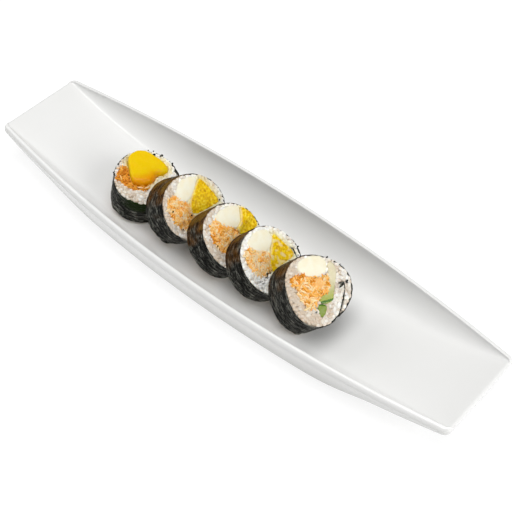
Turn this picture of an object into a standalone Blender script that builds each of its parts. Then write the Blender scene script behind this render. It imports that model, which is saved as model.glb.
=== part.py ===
# Five cut maki rolls lying in a row on a long boat-shaped plate, each leaning back on the one before.
# +Z is up, the plate's long side runs along X and its foot stands on Z = 0.
# Every roll is modelled in its own axes: the origin is the middle of its cut face and Z points out of it.

import math
import random

import bmesh
import bpy
from mathutils import Matrix, Vector

MM = 0.001

# The plate, in millimetres
PLATE_LENGTH = 357.0
RIM_HALF_MIDDLE = 47.5
RIM_HALF_END = 32.0
RIM_PLAN_POWER = 2.0
RIM_TOP_MIDDLE = 27.0
RIM_TOP_END = 29.5
RIM_TOP_POWER = 1.8
RIM_THICKNESS = 3.5
RIM_INNER_ROUND = 0.7
RIM_OUTER_FALL = 3.0
RIM_INNER_TURNS = (45, 90)
RIM_OUTER_TURNS = (35, 65, 90)
FLOOR_MIDDLE = 5.0
FLOOR_RISE = 24.0
FLOOR_POWER = 2.3
FLOOR_THICKNESS = 4.5
WALL_RUN = 0.84
WALL_POWER = 1.6
SIDE_LEAN = 0.3
SIDE_ROUND = 6.0
SIDE_TURNS = (0, 30, 60, 90)
FOOT_HALF_LENGTH = 86.0
FOOT_BLEND = 46.0
FOOT_WIDTH = 5.0
FOOT_RECESS = 1.5
RECESS_SLOPE = 1.5
RECESS_START = 12.0
RECESS_BLEND = 10.0
CORNER_RADIUS = 4.0
END_LIP = 2.0
THINNEST_LIP = 0.25
BODY_STATIONS = 30
WALL_STEPS = (0.0, 0.12, 0.3, 0.5, 0.7, 0.87, 1.0)
END_STEPS = (2.6, 1.3, 0.4, 0.0)

# The rolls, in millimetres
NORI_THICKNESS = 0.6
NORI_STEP_DEGREES = 9
RICE_STEP_DEGREES = 8
CLEARANCE = 0.3
RICE_CLEARANCE = 0.45
OVERLAP_STEP = NORI_THICKNESS + 0.35
OVERLAP_EASE = 25
RICE_SINK = 0.8
FILLING_SHRINK = 0.25
FILLING_LIP = 0.5
CROWN_INSET = 1.4
SLOPE_START = 4.0
SLOPE_RUN = 9.0
CARVED_ROOM = 0.1
CUTTER_REACH = 6.0
GRAIN_HALF = (2.6, 1.35, 1.15)
GRAIN_TIP = 0.85
GRAIN_SINK = 0.35
GRAIN_SPACING = 3.6
GRAIN_TRIES = 4000
FRONT_GRAINS = 15
BACK_GRAINS = 6
HOOK_TURN = 2.0
COVER_EASE = 5.0

# Where each roll lies: the middle of its cut face, the turn of its axis from +X, the axis's lean above
# the level, its radius and thickness, and how far its outline leaves a circle, as (amount, degrees).
# The seam is where the seaweed's inner end starts, with the overlap going clockwise from there.
# Below the height "covered" the next roll lies on the face, so nothing stands out of it there.
ROLLS = {
    "roll1": {
        "centre": (-70.1, -5.3, 32.0), "turn": 2.2, "lean": 75.5, "radius": 21.1, "thickness": 20.4,
        "oval": (0.13, -60), "lobes": (0.58, 58), "seam": -25, "overlap": 40, "tuck": 1.6, "hook": 0.0,
        "covered": -14,
    },
    "roll2": {
        "centre": (-27.5, -6.7, 36.2), "turn": -2.5, "lean": 42.2, "radius": 21.5, "thickness": 22.2,
        "oval": (0.59, -21), "lobes": (0.32, -14), "seam": -27, "overlap": 45, "tuck": 2.2, "hook": 0.0,
        "covered": -3,
    },
    "roll3": {
        "centre": (4.7, -6.7, 33.3), "turn": 8.9, "lean": 47.8, "radius": 21.5, "thickness": 18.0,
        "oval": (0.07, 85), "lobes": (0.54, -1), "seam": -27, "overlap": 45, "tuck": 2.2, "hook": 0.0,
        "covered": -3,
    },
    "roll4": {
        "centre": (34.5, -6.3, 34.0), "turn": 3.6, "lean": 51.1, "radius": 21.3, "thickness": 18.1,
        "oval": (0.46, -82), "lobes": (0.14, -13), "seam": -10, "overlap": 56, "tuck": 3.6, "hook": 0.0,
        "covered": -3,
    },
    "roll5": {
        "centre": (72.3, -10.1, 41.5), "turn": -10.9, "lean": 55.1, "radius": 20.9, "thickness": 25.6,
        "oval": (0.0, 0), "lobes": (1.07, -12), "seam": -14, "overlap": 66, "tuck": 5.2, "hook": 3.0,
        "covered": -26,
    },
}

# Outlines of the fillings on the cut faces, corner by corner. X is level and Y runs up the face.
# "top" is how far a filling stands out of the face and "rough" the depth of its flakes and fibres.
FILLINGS = {
    "roll1_salmon": {
        "kind": "salmon", "top": 0.6, "rough": 0.5,
        "outline": [(-9, 16), (-5.4, 16), (-3.4, 13.6), (-8.4, 7), (-11, 2.8), (-8.9, -1), (-6.2, -4.2),
                    (-2.6, -6), (-7, -7), (-11.6, -2.6), (-13.9, 3), (-15.6, 8), (-13.8, 12.6)],
    },
    "roll1_mango": {
        "kind": "mango", "top": 3.4, "rough": 0.0, "dome": 1.2, "slope": 2.0,
        "outline": [(-8.3, -0.8), (-6, -3.6), (-2.5, -5.3), (1.8, -5), (4.6, -3.6), (7.2, -5.3),
                    (11, -6.2), (14, -6), (15.6, -3.2), (15.8, 1.2), (14.2, 6.2), (13.6, 10),
                    (12.4, 13.2), (9.6, 16.2), (5.4, 17.7), (1, 17.3), (-1.9, 14.6), (-7.8, 7),
                    (-10.4, 2.8)],
    },
    "roll2_cream_cheese": {
        "kind": "cream_cheese", "top": 0.5, "rough": 0.1,
        "outline": [(-4.7, 15), (-0.1, 17.8), (4.8, 17.7), (9, 16.6), (11.6, 14.4), (8.6, 11.3),
                    (5, 8.5), (1.4, 5.8), (-3, 5.6), (-6.1, 8.4), (-7.8, 11.8)],
    },
    "roll2_salmon": {
        "kind": "salmon", "top": 0.4, "rough": 0.5,
        "outline": [(-12, 12.6), (-8.6, 13.1), (-6.1, 8.4), (-3, 5.6), (-1.9, 2.6), (-3.8, -1.7),
                    (-2.6, -5.5), (-6, -9.3), (-11.5, -9), (-14.6, -6.4), (-15.9, -2), (-16.5, 3),
                    (-16.3, 7.6), (-14.8, 10.9)],
    },
    "roll2_mango": {
        "kind": "mango", "top": 0.4, "rough": 0.35,
        "outline": [(12.5, 13.2), (14.5, 10), (15.7, 4.2), (17, -1.5), (17, -5.4), (15.2, -6.4),
                    (9.9, -5.8), (4.7, -5), (-0.3, -4.4), (-3.8, -1.7), (-1.9, 2.6), (1.4, 5.8),
                    (6.3, 9.2)],
    },
    "roll3_cream_cheese": {
        "kind": "cream_cheese", "top": 0.5, "rough": 0.1,
        "outline": [(-2.1, 16.5), (2.4, 16.8), (7.6, 15.7), (12.8, 13.7), (16, 11.3), (16.2, 8.9),
                    (13.2, 5.1), (9.5, 2.1), (5.4, 2.2), (2.1, 5.1), (-0.4, 9.6), (-1.8, 13.9)],
    },
    "roll3_salmon": {
        "kind": "salmon", "top": 0.4, "rough": 0.5,
        "outline": [(-6, 15), (-3, 15.7), (-1.8, 13.9), (-0.4, 9.6), (2.1, 5.1), (4.6, 1.6),
                    (4.4, -1.4), (0, -5.5), (-5, -7.5), (-10, -5.5), (-13, -2), (-13.9, 1.5),
                    (-13.5, 5.5), (-12.4, 9.3), (-10.3, 13.1)],
    },
    "roll3_mango": {
        "kind": "mango", "top": 1.8, "rough": 0.35,
        "outline": [(16.6, 9.4), (18.2, 5.6), (19.2, 0.8), (19, -3.8), (18.2, -6.2), (15.5, -5.6),
                    (11.2, -4), (7.4, -2.6), (5, -0.6), (5.4, 2.2), (9.5, 2.1), (13.2, 5.1)],
    },
    "roll4_cream_cheese": {
        "kind": "cream_cheese", "top": 0.5, "rough": 0.1,
        "outline": [(-3.2, 18.4), (1, 19), (5.8, 18.4), (9.2, 16.6), (10.6, 13.8), (9.7, 10.3),
                    (6.7, 7.3), (2.5, 6), (-1.6, 7.7), (-4.4, 10.6), (-6.3, 14.3), (-5.8, 17)],
    },
    "roll4_salmon": {
        "kind": "salmon", "top": 0.4, "rough": 0.5,
        "outline": [(-9.3, 15.1), (-6.8, 14.2), (-4.6, 10.4), (-1.6, 7.5), (2.2, 5.8), (1, 2.6),
                    (-2.8, -0.6), (-5.2, -4.4), (-8.8, -5), (-12.5, -1.6), (-14.4, 2.5), (-14.9, 6.7),
                    (-13.5, 10.9), (-11.5, 13.8)],
    },
    "roll4_mango": {
        "kind": "mango", "top": 0.4, "rough": 0.35,
        "outline": [(12.6, 11.2), (13, 8.4), (13.9, 3.8), (14.8, -1), (15.6, -5.6), (13.5, -7.4),
                    (8.9, -6.6), (3.9, -5.8), (-1, -5.6), (-5.2, -4.9), (-2.8, -0.6), (1, 2.6),
                    (4.9, 5.6), (9, 8.6)],
    },
    "roll5_cream_cheese": {
        "kind": "cream_cheese", "top": 0.7, "rough": 0.1,
        "outline": [(-3.2, 18.3), (0.2, 19.2), (4.5, 18.6), (9.2, 16.4), (12.2, 13.8), (12.6, 10.9),
                    (11.2, 7.9), (8.2, 6.4), (3.9, 6.4), (0.4, 7.8), (-2.3, 10.2), (-4.6, 13.2),
                    (-4.8, 16.2)],
    },
    "roll5_salmon": {
        "kind": "salmon", "top": 0.5, "rough": 0.6,
        "outline": [(-13.6, 9.3), (-10.8, 13.6), (-7, 13.1), (-3, 10.3), (0.8, 7.2), (5.9, 5),
                    (10, 4.6), (8.1, -0.3), (4.6, -4.6), (-0.4, -4.6), (-4.4, -6.2), (-10.2, -7.5),
                    (-12.6, -6.8), (-12, -3.6), (-12.3, 0.5), (-12, 4.2), (-11.2, 7.4)],
    },
    "roll5_cucumber_wide": {
        "kind": "cucumber", "top": 0.4, "rough": 0.0,
        "outline": [(13.4, 10.6), (16.4, 9.2), (16, 4), (12.2, -0.8), (7.4, -6), (5.2, -9.4),
                    (1.6, -10.2), (-4.2, -6.8), (-0.4, -4.6), (4.6, -4.6), (8.1, -0.3), (10.6, 4.7)],
    },
    "roll5_cucumber_slim": {
        "kind": "cucumber", "top": 0.2, "rough": 0.0,
        "outline": [(-4.8, -7.2), (-0.6, -9.5), (-1.5, -12), (-4.4, -14.4), (-6.9, -14.6),
                    (-6.9, -10.6)],
    },
}

COLOURS = {
    "porcelain": ((0.84, 0.84, 0.83, 1.0), 0.12),
    "nori": ((0.022, 0.026, 0.018, 1.0), 0.45),
    "rice": ((0.80, 0.74, 0.66, 1.0), 0.5),
    "cream_cheese": ((0.90, 0.86, 0.70, 1.0), 0.4),
    "salmon": ((0.86, 0.43, 0.19, 1.0), 0.45),
    "mango": ((0.84, 0.55, 0.02, 1.0), 0.25),
    "cucumber": ((0.45, 0.52, 0.13, 1.0), 0.3),
}


def clear_scene():
    for item in list(bpy.data.objects):
        bpy.data.objects.remove(item, do_unlink=True)


def new_collection(name):
    collection = bpy.data.collections.new(name)
    bpy.context.scene.collection.children.link(collection)
    return collection


def new_material(name):
    colour, roughness = COLOURS[name]
    material = bpy.data.materials.new(name)
    material.use_nodes = True
    shader = material.node_tree.nodes["Principled BSDF"]
    shader.inputs["Base Color"].default_value = colour
    shader.inputs["Roughness"].default_value = roughness
    material.diffuse_color = colour
    return material


def object_from(bm, name, collection, kind=None):
    bmesh.ops.recalc_face_normals(bm, faces=bm.faces)
    mesh = bpy.data.meshes.new(name)
    bm.to_mesh(mesh)
    bm.free()
    item = bpy.data.objects.new(name, mesh)
    collection.objects.link(item)
    if kind:
        mesh.materials.append(new_material(kind))
    return item


def smooth_step(value):
    value = min(1.0, max(0.0, value))
    return value * value * (3 - 2 * value)


# Plate

def plate_floor(x):
    reach = abs(x) / (PLATE_LENGTH / 2)
    return FLOOR_MIDDLE + FLOOR_RISE * reach ** FLOOR_POWER


def plate_half_section(x):
    # From the middle of the floor, up the wall, over the rim and back under to the middle of the foot
    reach = abs(x) / (PLATE_LENGTH / 2)
    past_corner = max(0.0, abs(x) - (PLATE_LENGTH / 2 - CORNER_RADIUS))
    corner_inset = CORNER_RADIUS - math.sqrt(CORNER_RADIUS ** 2 - past_corner ** 2)
    half = RIM_HALF_MIDDLE - (RIM_HALF_MIDDLE - RIM_HALF_END) * reach ** RIM_PLAN_POWER - corner_inset
    rim_top = RIM_TOP_MIDDLE + (RIM_TOP_END - RIM_TOP_MIDDLE) * reach ** RIM_TOP_POWER
    floor = plate_floor(x)
    past_foot = smooth_step((abs(x) - FOOT_HALF_LENGTH) / FOOT_BLEND)
    under = (floor - FLOOR_THICKNESS) * past_foot
    recess = FOOT_RECESS * (1 - smooth_step((abs(x) - FOOT_HALF_LENGTH + RECESS_START) / RECESS_BLEND))
    points = [(0.0, floor)]

    rise = rim_top - floor
    bead = min(RIM_INNER_ROUND, rise / 2)
    inner_edge = half - RIM_THICKNESS
    crease = inner_edge - WALL_RUN * rise
    for step in WALL_STEPS:
        climb = 1 - (1 - step ** WALL_POWER) ** (1 / WALL_POWER)
        points.append((crease + (inner_edge - crease) * step, floor + (rise - bead) * climb))

    # The rim is highest at its inner edge and rounds over towards the outside
    crest = inner_edge + RIM_INNER_ROUND
    for degrees in RIM_INNER_TURNS:
        angle = math.radians(degrees)
        points.append((crest - RIM_INNER_ROUND * math.cos(angle), rim_top - bead * (1 - math.sin(angle))))
    for degrees in RIM_OUTER_TURNS:
        angle = math.radians(degrees)
        out = crest + (half - crest) * math.sin(angle)
        points.append((out, rim_top - RIM_OUTER_FALL * (1 - math.cos(angle))))

    height = rim_top - RIM_OUTER_FALL - under
    side_round = min(SIDE_ROUND, height / 2)
    side_foot = half - SIDE_LEAN * (height - side_round)
    for degrees in SIDE_TURNS:
        angle = math.radians(degrees)
        out = side_foot - side_round * (1 - math.cos(angle))
        points.append((out, under + side_round * (1 - math.sin(angle))))

    foot_inner = side_foot - side_round - FOOT_WIDTH
    points.append((foot_inner, under))
    points.append((foot_inner - RECESS_SLOPE, under + recess))
    points.append((0.0, under + recess))

    lip = (PLATE_LENGTH / 2 - abs(x)) / END_LIP
    if lip < 1:
        thinning = max(THINNEST_LIP, math.sqrt(1 - (1 - lip) ** 2))
        middle = (floor + under) / 2
        points = [(y, middle + (z - middle) * thinning) for y, z in points]
    return points


def plate_stations():
    straight = PLATE_LENGTH / 2 - CORNER_RADIUS
    body = [straight * (2 * i / BODY_STATIONS - 1) for i in range(BODY_STATIONS + 1)]
    right_end = [PLATE_LENGTH / 2 - step for step in END_STEPS]
    left_end = [-x for x in reversed(right_end)]
    return left_end + body + right_end


def build_plate(collection):
    bm = bmesh.new()
    rings = []
    for x in plate_stations():
        half = plate_half_section(x)
        around = half + [(-y, z) for y, z in reversed(half[1:-1])]
        rings.append([bm.verts.new(Vector((x, y, z)) * MM) for y, z in around])
    for first, second in zip(rings, rings[1:]):
        for i in range(len(first)):
            j = (i + 1) % len(first)
            bm.faces.new((first[i], first[j], second[j], second[i]))
    bm.faces.new(rings[0])
    bm.faces.new(rings[-1])
    plate = object_from(bm, "plate", collection, "porcelain")
    plate.data.shade_smooth()
    plate.data.set_sharp_from_angle(angle=math.radians(40))
    return plate


# Outlines on a cut face

def roll_radius(roll, angle):
    oval, oval_turn = roll["oval"]
    lobes, lobe_turn = roll["lobes"]
    ovalness = oval * math.cos(2 * (angle - math.radians(oval_turn)))
    lobing = lobes * math.cos(3 * (angle - math.radians(lobe_turn)))
    return roll["radius"] + ovalness + lobing


def on_roll(roll, degrees, inset):
    angle = math.radians(degrees)
    radius = roll_radius(roll, angle) - inset
    return Vector((radius * math.cos(angle), radius * math.sin(angle)))


def nori_inset(roll, travelled):
    # How far the sheet lies inside the roll's outline, by the degrees travelled from its inner end
    if travelled < roll["overlap"]:
        return OVERLAP_STEP + (roll["tuck"] - OVERLAP_STEP) * (1 - (travelled / roll["overlap"]) ** 2)
    return OVERLAP_STEP * (1 - smooth_step((travelled - roll["overlap"]) / OVERLAP_EASE))


def nori_path(roll, until=None):
    end = until or 360 + roll["overlap"]
    steps = round(end / NORI_STEP_DEGREES)
    path = []
    if roll["hook"]:
        path.append(on_roll(roll, roll["seam"] + HOOK_TURN, roll["tuck"] + NORI_THICKNESS + roll["hook"]))
    for i in range(steps + 1):
        travelled = end * i / steps
        depth = NORI_THICKNESS / 2 + nori_inset(roll, travelled)
        path.append(on_roll(roll, roll["seam"] - travelled, depth))
    return path


def signed_area(outline):
    pairs = zip(outline, outline[1:] + outline[:1])
    return sum(a.x * b.y - a.y * b.x for a, b in pairs) / 2


def grown(outline, amount):
    # Every side moves out by the amount, in along it where it is negative
    turn = 1 if signed_area(outline) > 0 else -1
    result = []
    for before, corner, after in zip(outline[-1:] + outline[:-1], outline, outline[1:] + outline[:1]):
        first = (corner - before).normalized()
        second = (after - corner).normalized()
        out_first = Vector((first.y, -first.x)) * turn
        out_second = Vector((second.y, -second.x)) * turn
        middle = (out_first + out_second).normalized()
        result.append(corner + middle * amount / max(0.5, middle.dot(out_first)))
    return result


def filling_outline(name):
    return [Vector(corner) for corner in FILLINGS[name]["outline"]]


def distance_to_line(point, start, end):
    along = end - start
    share = min(1.0, max(0.0, (point - start).dot(along) / along.length_squared))
    return (point - start - along * share).length


def is_inside(point, outline):
    inside = False
    for a, b in zip(outline, outline[1:] + outline[:1]):
        if (a.y > point.y) != (b.y > point.y):
            if point.x < (b.x - a.x) * (point.y - a.y) / (b.y - a.y) + a.x:
                inside = not inside
    return inside


# Roll pieces

def prism(outline, bottom, top):
    bm = bmesh.new()
    face = bm.faces.new([bm.verts.new((p.x * MM, p.y * MM, bottom * MM)) for p in outline])
    walls = bmesh.ops.extrude_face_region(bm, geom=[face])
    lifted = [item for item in walls["geom"] if isinstance(item, bmesh.types.BMVert)]
    bmesh.ops.translate(bm, verts=lifted, vec=(0, 0, (top - bottom) * MM))
    return bm


def ribbon(path, bottom, top):
    bm = bmesh.new()
    columns = []
    for point in path:
        columns.append([bm.verts.new((point.x * MM, point.y * MM, z * MM)) for z in (bottom, top)])
    for first, second in zip(columns, columns[1:]):
        bm.faces.new((first[0], second[0], second[1], first[1]))
    return bm


def thicken(item, thickness):
    solidify = item.modifiers.new("Thickness", "SOLIDIFY")
    solidify.thickness = thickness * MM
    solidify.offset = 0


def build_nori(name, roll, collection):
    bm = ribbon(nori_path(roll), -roll["thickness"], 0)
    nori = object_from(bm, name + "_nori", collection, "nori")
    thicken(nori, NORI_THICKNESS)
    nori.data.shade_smooth()
    return nori


def build_filling(name, roll, collection, rng):
    shape = FILLINGS[name]
    outline = grown(filling_outline(name), -FILLING_SHRINK)
    top = shape["top"]
    bm = prism(outline, -roll["thickness"] + CLEARANCE, top - FILLING_LIP)
    bm.faces.ensure_lookup_table()
    cut_face = max(bm.faces, key=lambda face: face.calc_center_median().z)
    bmesh.ops.recalc_face_normals(bm, faces=bm.faces)
    bmesh.ops.inset_region(bm, faces=[cut_face], thickness=FILLING_LIP * MM, depth=FILLING_LIP * MM)
    bmesh.ops.inset_region(bm, faces=[cut_face], thickness=CROWN_INSET * MM, depth=0)
    crown = list(cut_face.verts)
    bmesh.ops.triangulate(bm, faces=[cut_face])
    for vert in crown:
        vert.co.z += (rng.uniform(-1, 1) * shape["rough"] + shape.get("dome", 0)) * MM
        vert.co.z -= shape.get("slope", 0) * smooth_step((SLOPE_START - vert.co.y / MM) / SLOPE_RUN) * MM
    settle_under_neighbour(bm, roll)
    return object_from(bm, name, collection, shape["kind"])


def settle_under_neighbour(bm, roll):
    for vert in bm.verts:
        if vert.co.z > 0:
            vert.co.z *= smooth_step((vert.co.y / MM - roll["covered"]) / COVER_EASE)


def grain_fits(roll, fillings, flap, centre, direction):
    reach = direction * GRAIN_HALF[0] * GRAIN_TIP
    tips = [centre, centre + reach, centre - reach]
    margin = GRAIN_HALF[1] + CLEARANCE
    for tip in tips:
        edge = roll_radius(roll, math.atan2(tip.y, tip.x)) - NORI_THICKNESS - RICE_CLEARANCE
        if tip.length > edge - margin:
            return False
        for outline in fillings:
            if is_inside(tip, outline):
                return False
            sides = zip(outline, outline[1:] + outline[:1])
            if min(distance_to_line(tip, a, b) for a, b in sides) < margin:
                return False
        if min(distance_to_line(tip, a, b) for a, b in zip(flap, flap[1:])) < margin + NORI_THICKNESS / 2:
            return False
    return True


def grain_spots(roll, fillings, flap, count, rng):
    spots = []
    for _ in range(GRAIN_TRIES):
        centre = Vector((rng.uniform(-1, 1), rng.uniform(-1, 1))) * roll["radius"]
        turn = rng.uniform(0, math.pi)
        direction = Vector((math.cos(turn), math.sin(turn)))
        crowded = any((centre - other).length < GRAIN_SPACING for other, _ in spots)
        if not crowded and grain_fits(roll, fillings, flap, centre, direction):
            spots.append((centre, turn))
        if len(spots) == count:
            break
    return spots


def build_grain(centre, turn, height, collection):
    bm = bmesh.new()
    bmesh.ops.create_uvsphere(bm, u_segments=6, v_segments=4, radius=MM)
    lying = Matrix.Rotation(math.pi / 2, 4, "Y")
    place = Matrix.Translation(Vector((centre.x, centre.y, height)) * MM) @ Matrix.Rotation(turn, 4, "Z")
    bmesh.ops.transform(bm, verts=bm.verts, matrix=place @ Matrix.Diagonal((*GRAIN_HALF, 1)) @ lying)
    return object_from(bm, "grain", collection)


def apply_modifiers(item):
    graph = bpy.context.evaluated_depsgraph_get()
    mesh = bpy.data.meshes.new_from_object(item.evaluated_get(graph))
    item.modifiers.clear()
    item.data = mesh


def fuse(item, pieces):
    union = item.modifiers.new("Fuse", "BOOLEAN")
    union.operation = "UNION"
    union.operand_type = "COLLECTION"
    union.collection = pieces
    union.solver = "EXACT"
    apply_modifiers(item)
    for piece in list(pieces.objects):
        bpy.data.objects.remove(piece, do_unlink=True)


def drop_scraps(item):
    # Carving can leave crumbs beside the body: only the largest body stays
    bm = bmesh.new()
    bm.from_mesh(item.data)
    waiting = set(bm.verts)
    bodies = []
    while waiting:
        body = set()
        edge_of_body = [waiting.pop()]
        while edge_of_body:
            vert = edge_of_body.pop()
            body.add(vert)
            for edge in vert.link_edges:
                other = edge.other_vert(vert)
                if other in waiting:
                    waiting.remove(other)
                    edge_of_body.append(other)
        bodies.append(body)
    bodies.sort(key=len, reverse=True)
    crumbs = [vert for body in bodies[1:] for vert in body]
    bmesh.ops.delete(bm, geom=crumbs, context="VERTS")
    bm.to_mesh(item.data)
    bm.free()


def carve(item, cutter):
    difference = item.modifiers.new("Carve", "BOOLEAN")
    difference.operation = "DIFFERENCE"
    difference.object = cutter
    difference.solver = "EXACT"


def build_rice(name, roll, collection, cutters, grains, rng):
    thickness = roll["thickness"]
    inset = NORI_THICKNESS + RICE_CLEARANCE
    outline = [on_roll(roll, degrees, inset) for degrees in range(0, 360, RICE_STEP_DEGREES)]
    solid = prism(outline, -thickness + RICE_SINK, -RICE_SINK)
    core = object_from(solid, name + "_rice", collection, "rice")
    fillings = [filling_outline(key) for key in FILLINGS if key.startswith(name)]
    flap = nori_path(roll, until=roll["overlap"] + OVERLAP_EASE)

    front_height = -RICE_SINK - GRAIN_SINK
    for centre, turn in grain_spots(roll, fillings, flap, FRONT_GRAINS, rng):
        build_grain(centre, turn, front_height, grains)
    back_height = -thickness + RICE_SINK + GRAIN_SINK
    for centre, turn in grain_spots(roll, fillings, flap, BACK_GRAINS, rng):
        build_grain(centre, turn, back_height, grains)
    fuse(core, grains)

    for outline in fillings:
        room = prism(grown(outline, CARVED_ROOM), -thickness - CUTTER_REACH, CUTTER_REACH)
        carve(core, object_from(room, name + "_room", cutters))
    slot = object_from(ribbon(flap, -thickness - CUTTER_REACH, CUTTER_REACH), name + "_slot", cutters)
    thicken(slot, NORI_THICKNESS + 2 * CLEARANCE)
    carve(core, slot)
    apply_modifiers(core)
    drop_scraps(core)
    for cutter in list(cutters.objects):
        bpy.data.objects.remove(cutter, do_unlink=True)
    return core


def roll_matrix(roll):
    place = Matrix.Translation(Vector(roll["centre"]) * MM)
    turn = Matrix.Rotation(math.radians(roll["turn"]), 4, "Z")
    lean = Matrix.Rotation(math.radians(90 - roll["lean"]), 4, "Y")
    upright = Matrix.Rotation(math.pi / 2, 4, "Z")
    return place @ turn @ lean @ upright


def build_roll(name, roll, collection, cutters, grains, rng):
    pieces = [build_nori(name, roll, collection)]
    pieces.append(build_rice(name, roll, collection, cutters, grains, rng))
    for key in FILLINGS:
        if key.startswith(name):
            pieces.append(build_filling(key, roll, collection, rng))
    holder = bpy.data.objects.new(name, None)
    holder.empty_display_size = 0.02
    collection.objects.link(holder)
    holder.matrix_world = roll_matrix(roll)
    for piece in pieces:
        piece.parent = holder


def main():
    clear_scene()
    parts = new_collection("maki_on_plate")
    cutters = new_collection("cutters")
    grains = new_collection("grains")
    rng = random.Random(7)
    build_plate(parts)
    for name, roll in ROLLS.items():
        build_roll(name, roll, parts, cutters, grains, rng)
    bpy.data.collections.remove(grains)


main()
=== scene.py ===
import math
import random

import bmesh
import bpy
import numpy as np
from mathutils import Matrix, Vector, noise
from mathutils.geometry import delaunay_2d_cdt


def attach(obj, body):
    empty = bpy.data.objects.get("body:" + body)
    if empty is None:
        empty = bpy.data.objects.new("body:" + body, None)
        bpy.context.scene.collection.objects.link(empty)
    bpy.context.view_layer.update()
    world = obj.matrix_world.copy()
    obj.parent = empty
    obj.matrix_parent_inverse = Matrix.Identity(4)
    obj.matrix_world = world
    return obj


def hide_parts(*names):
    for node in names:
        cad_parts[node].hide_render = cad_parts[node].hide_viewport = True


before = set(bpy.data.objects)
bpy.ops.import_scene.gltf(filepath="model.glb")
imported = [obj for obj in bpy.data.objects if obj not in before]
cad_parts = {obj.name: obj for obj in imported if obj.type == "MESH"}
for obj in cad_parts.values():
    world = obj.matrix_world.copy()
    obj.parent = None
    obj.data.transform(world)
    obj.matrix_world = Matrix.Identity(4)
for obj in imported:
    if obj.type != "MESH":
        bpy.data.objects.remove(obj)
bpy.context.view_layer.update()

mm = 0.001
print("frame loaded:", len(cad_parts), "pieces")

# Scene: camera as the photograph was taken, in millimetres, then a white sweep and soft lamps, in metres
cameraSet = {"place": (304.6, -327.2, 524.6), "aim": (5.96, 12.21, 0.0), "lens": 77.6, "sensor": 36.0}
lightSet = {
    "sky": 0.185, "floorHalf": 12.0, "floorColour": 0.3, "floorGlow": 0.76,
    "lamps": {
        "overheadSoftbox": {"place": (0.12, -0.12, 1.4), "size": 1.1, "power": 14.4},
        "rightSoftbox": {"place": (1.3, 0.1, 0.8), "size": 0.9, "power": 10.6},
        "leftSoftbox": {"place": (-1.2, -0.1, 0.9), "size": 0.9, "power": 5.0},
    },
}


def aimAt(item, place, target):
    item.location = place
    item.rotation_mode = "QUATERNION"
    item.rotation_quaternion = (Vector(target) - Vector(place)).to_track_quat("-Z", "Y")


def setUpCamera(scene):
    lens = bpy.data.cameras.new("photoCamera")
    lens.lens = cameraSet["lens"]
    lens.sensor_width = cameraSet["sensor"]
    lens.clip_start = 0.01
    camera = bpy.data.objects.new("photoCamera", lens)
    scene.collection.objects.link(camera)
    aimAt(camera, Vector(cameraSet["place"]) * mm, Vector(cameraSet["aim"]) * mm)
    scene.camera = camera


def setUpLight(scene):
    scene.view_settings.view_transform = "Standard"
    world = bpy.data.worlds.new("softRoom")
    world.use_nodes = True
    sky = world.node_tree.nodes["Background"]
    sky.inputs["Color"].default_value = (1.0, 1.0, 1.0, 1.0)
    sky.inputs["Strength"].default_value = lightSet["sky"]
    scene.world = world
    for name, values in lightSet["lamps"].items():
        lamp = bpy.data.lights.new(name, "AREA")
        lamp.shape = "SQUARE"
        lamp.size = values["size"]
        lamp.energy = values["power"]
        softbox = bpy.data.objects.new(name, lamp)
        scene.collection.objects.link(softbox)
        aimAt(softbox, values["place"], (0.0, 0.0, 0.02))


def setUpFloor():
    bpy.ops.mesh.primitive_plane_add(size=2 * lightSet["floorHalf"])
    floor = bpy.context.object
    floor.name = "paleFloor"
    paint = bpy.data.materials.new("paleFloor")
    paint.use_nodes = True
    shader = paint.node_tree.nodes["Principled BSDF"]
    shader.inputs["Base Color"].default_value = (*[lightSet["floorColour"]] * 3, 1.0)
    shader.inputs["Emission Color"].default_value = (1.0, 1.0, 1.0, 1.0)
    shader.inputs["Emission Strength"].default_value = lightSet["floorGlow"]
    shader.inputs["Roughness"].default_value = 0.9
    shader.inputs["Specular IOR Level"].default_value = 0.0
    floor.data.materials.append(paint)


setUpCamera(bpy.context.scene)
setUpLight(bpy.context.scene)
setUpFloor()
print("camera, light and floor set")


# Shader helpers

def addNode(tree, kind, inputs=None, **settings):
    item = tree.nodes.new(kind)
    for name, value in settings.items():
        setattr(item, name, value)
    for name, value in (inputs or {}).items():
        item.inputs[name].default_value = value
    return item


def newGroup(name, inputs, outputs):
    tree = bpy.data.node_groups.new(name, "ShaderNodeTree")
    for label, value in inputs.items():
        kind = "NodeSocketVector" if isinstance(value, tuple) else "NodeSocketFloat"
        socket = tree.interface.new_socket(label, in_out="INPUT", socket_type=kind)
        socket.default_value = value
    for label in outputs:
        tree.interface.new_socket(label, in_out="OUTPUT", socket_type="NodeSocketFloat")
    return tree, tree.nodes.new("NodeGroupInput"), tree.nodes.new("NodeGroupOutput")


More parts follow.
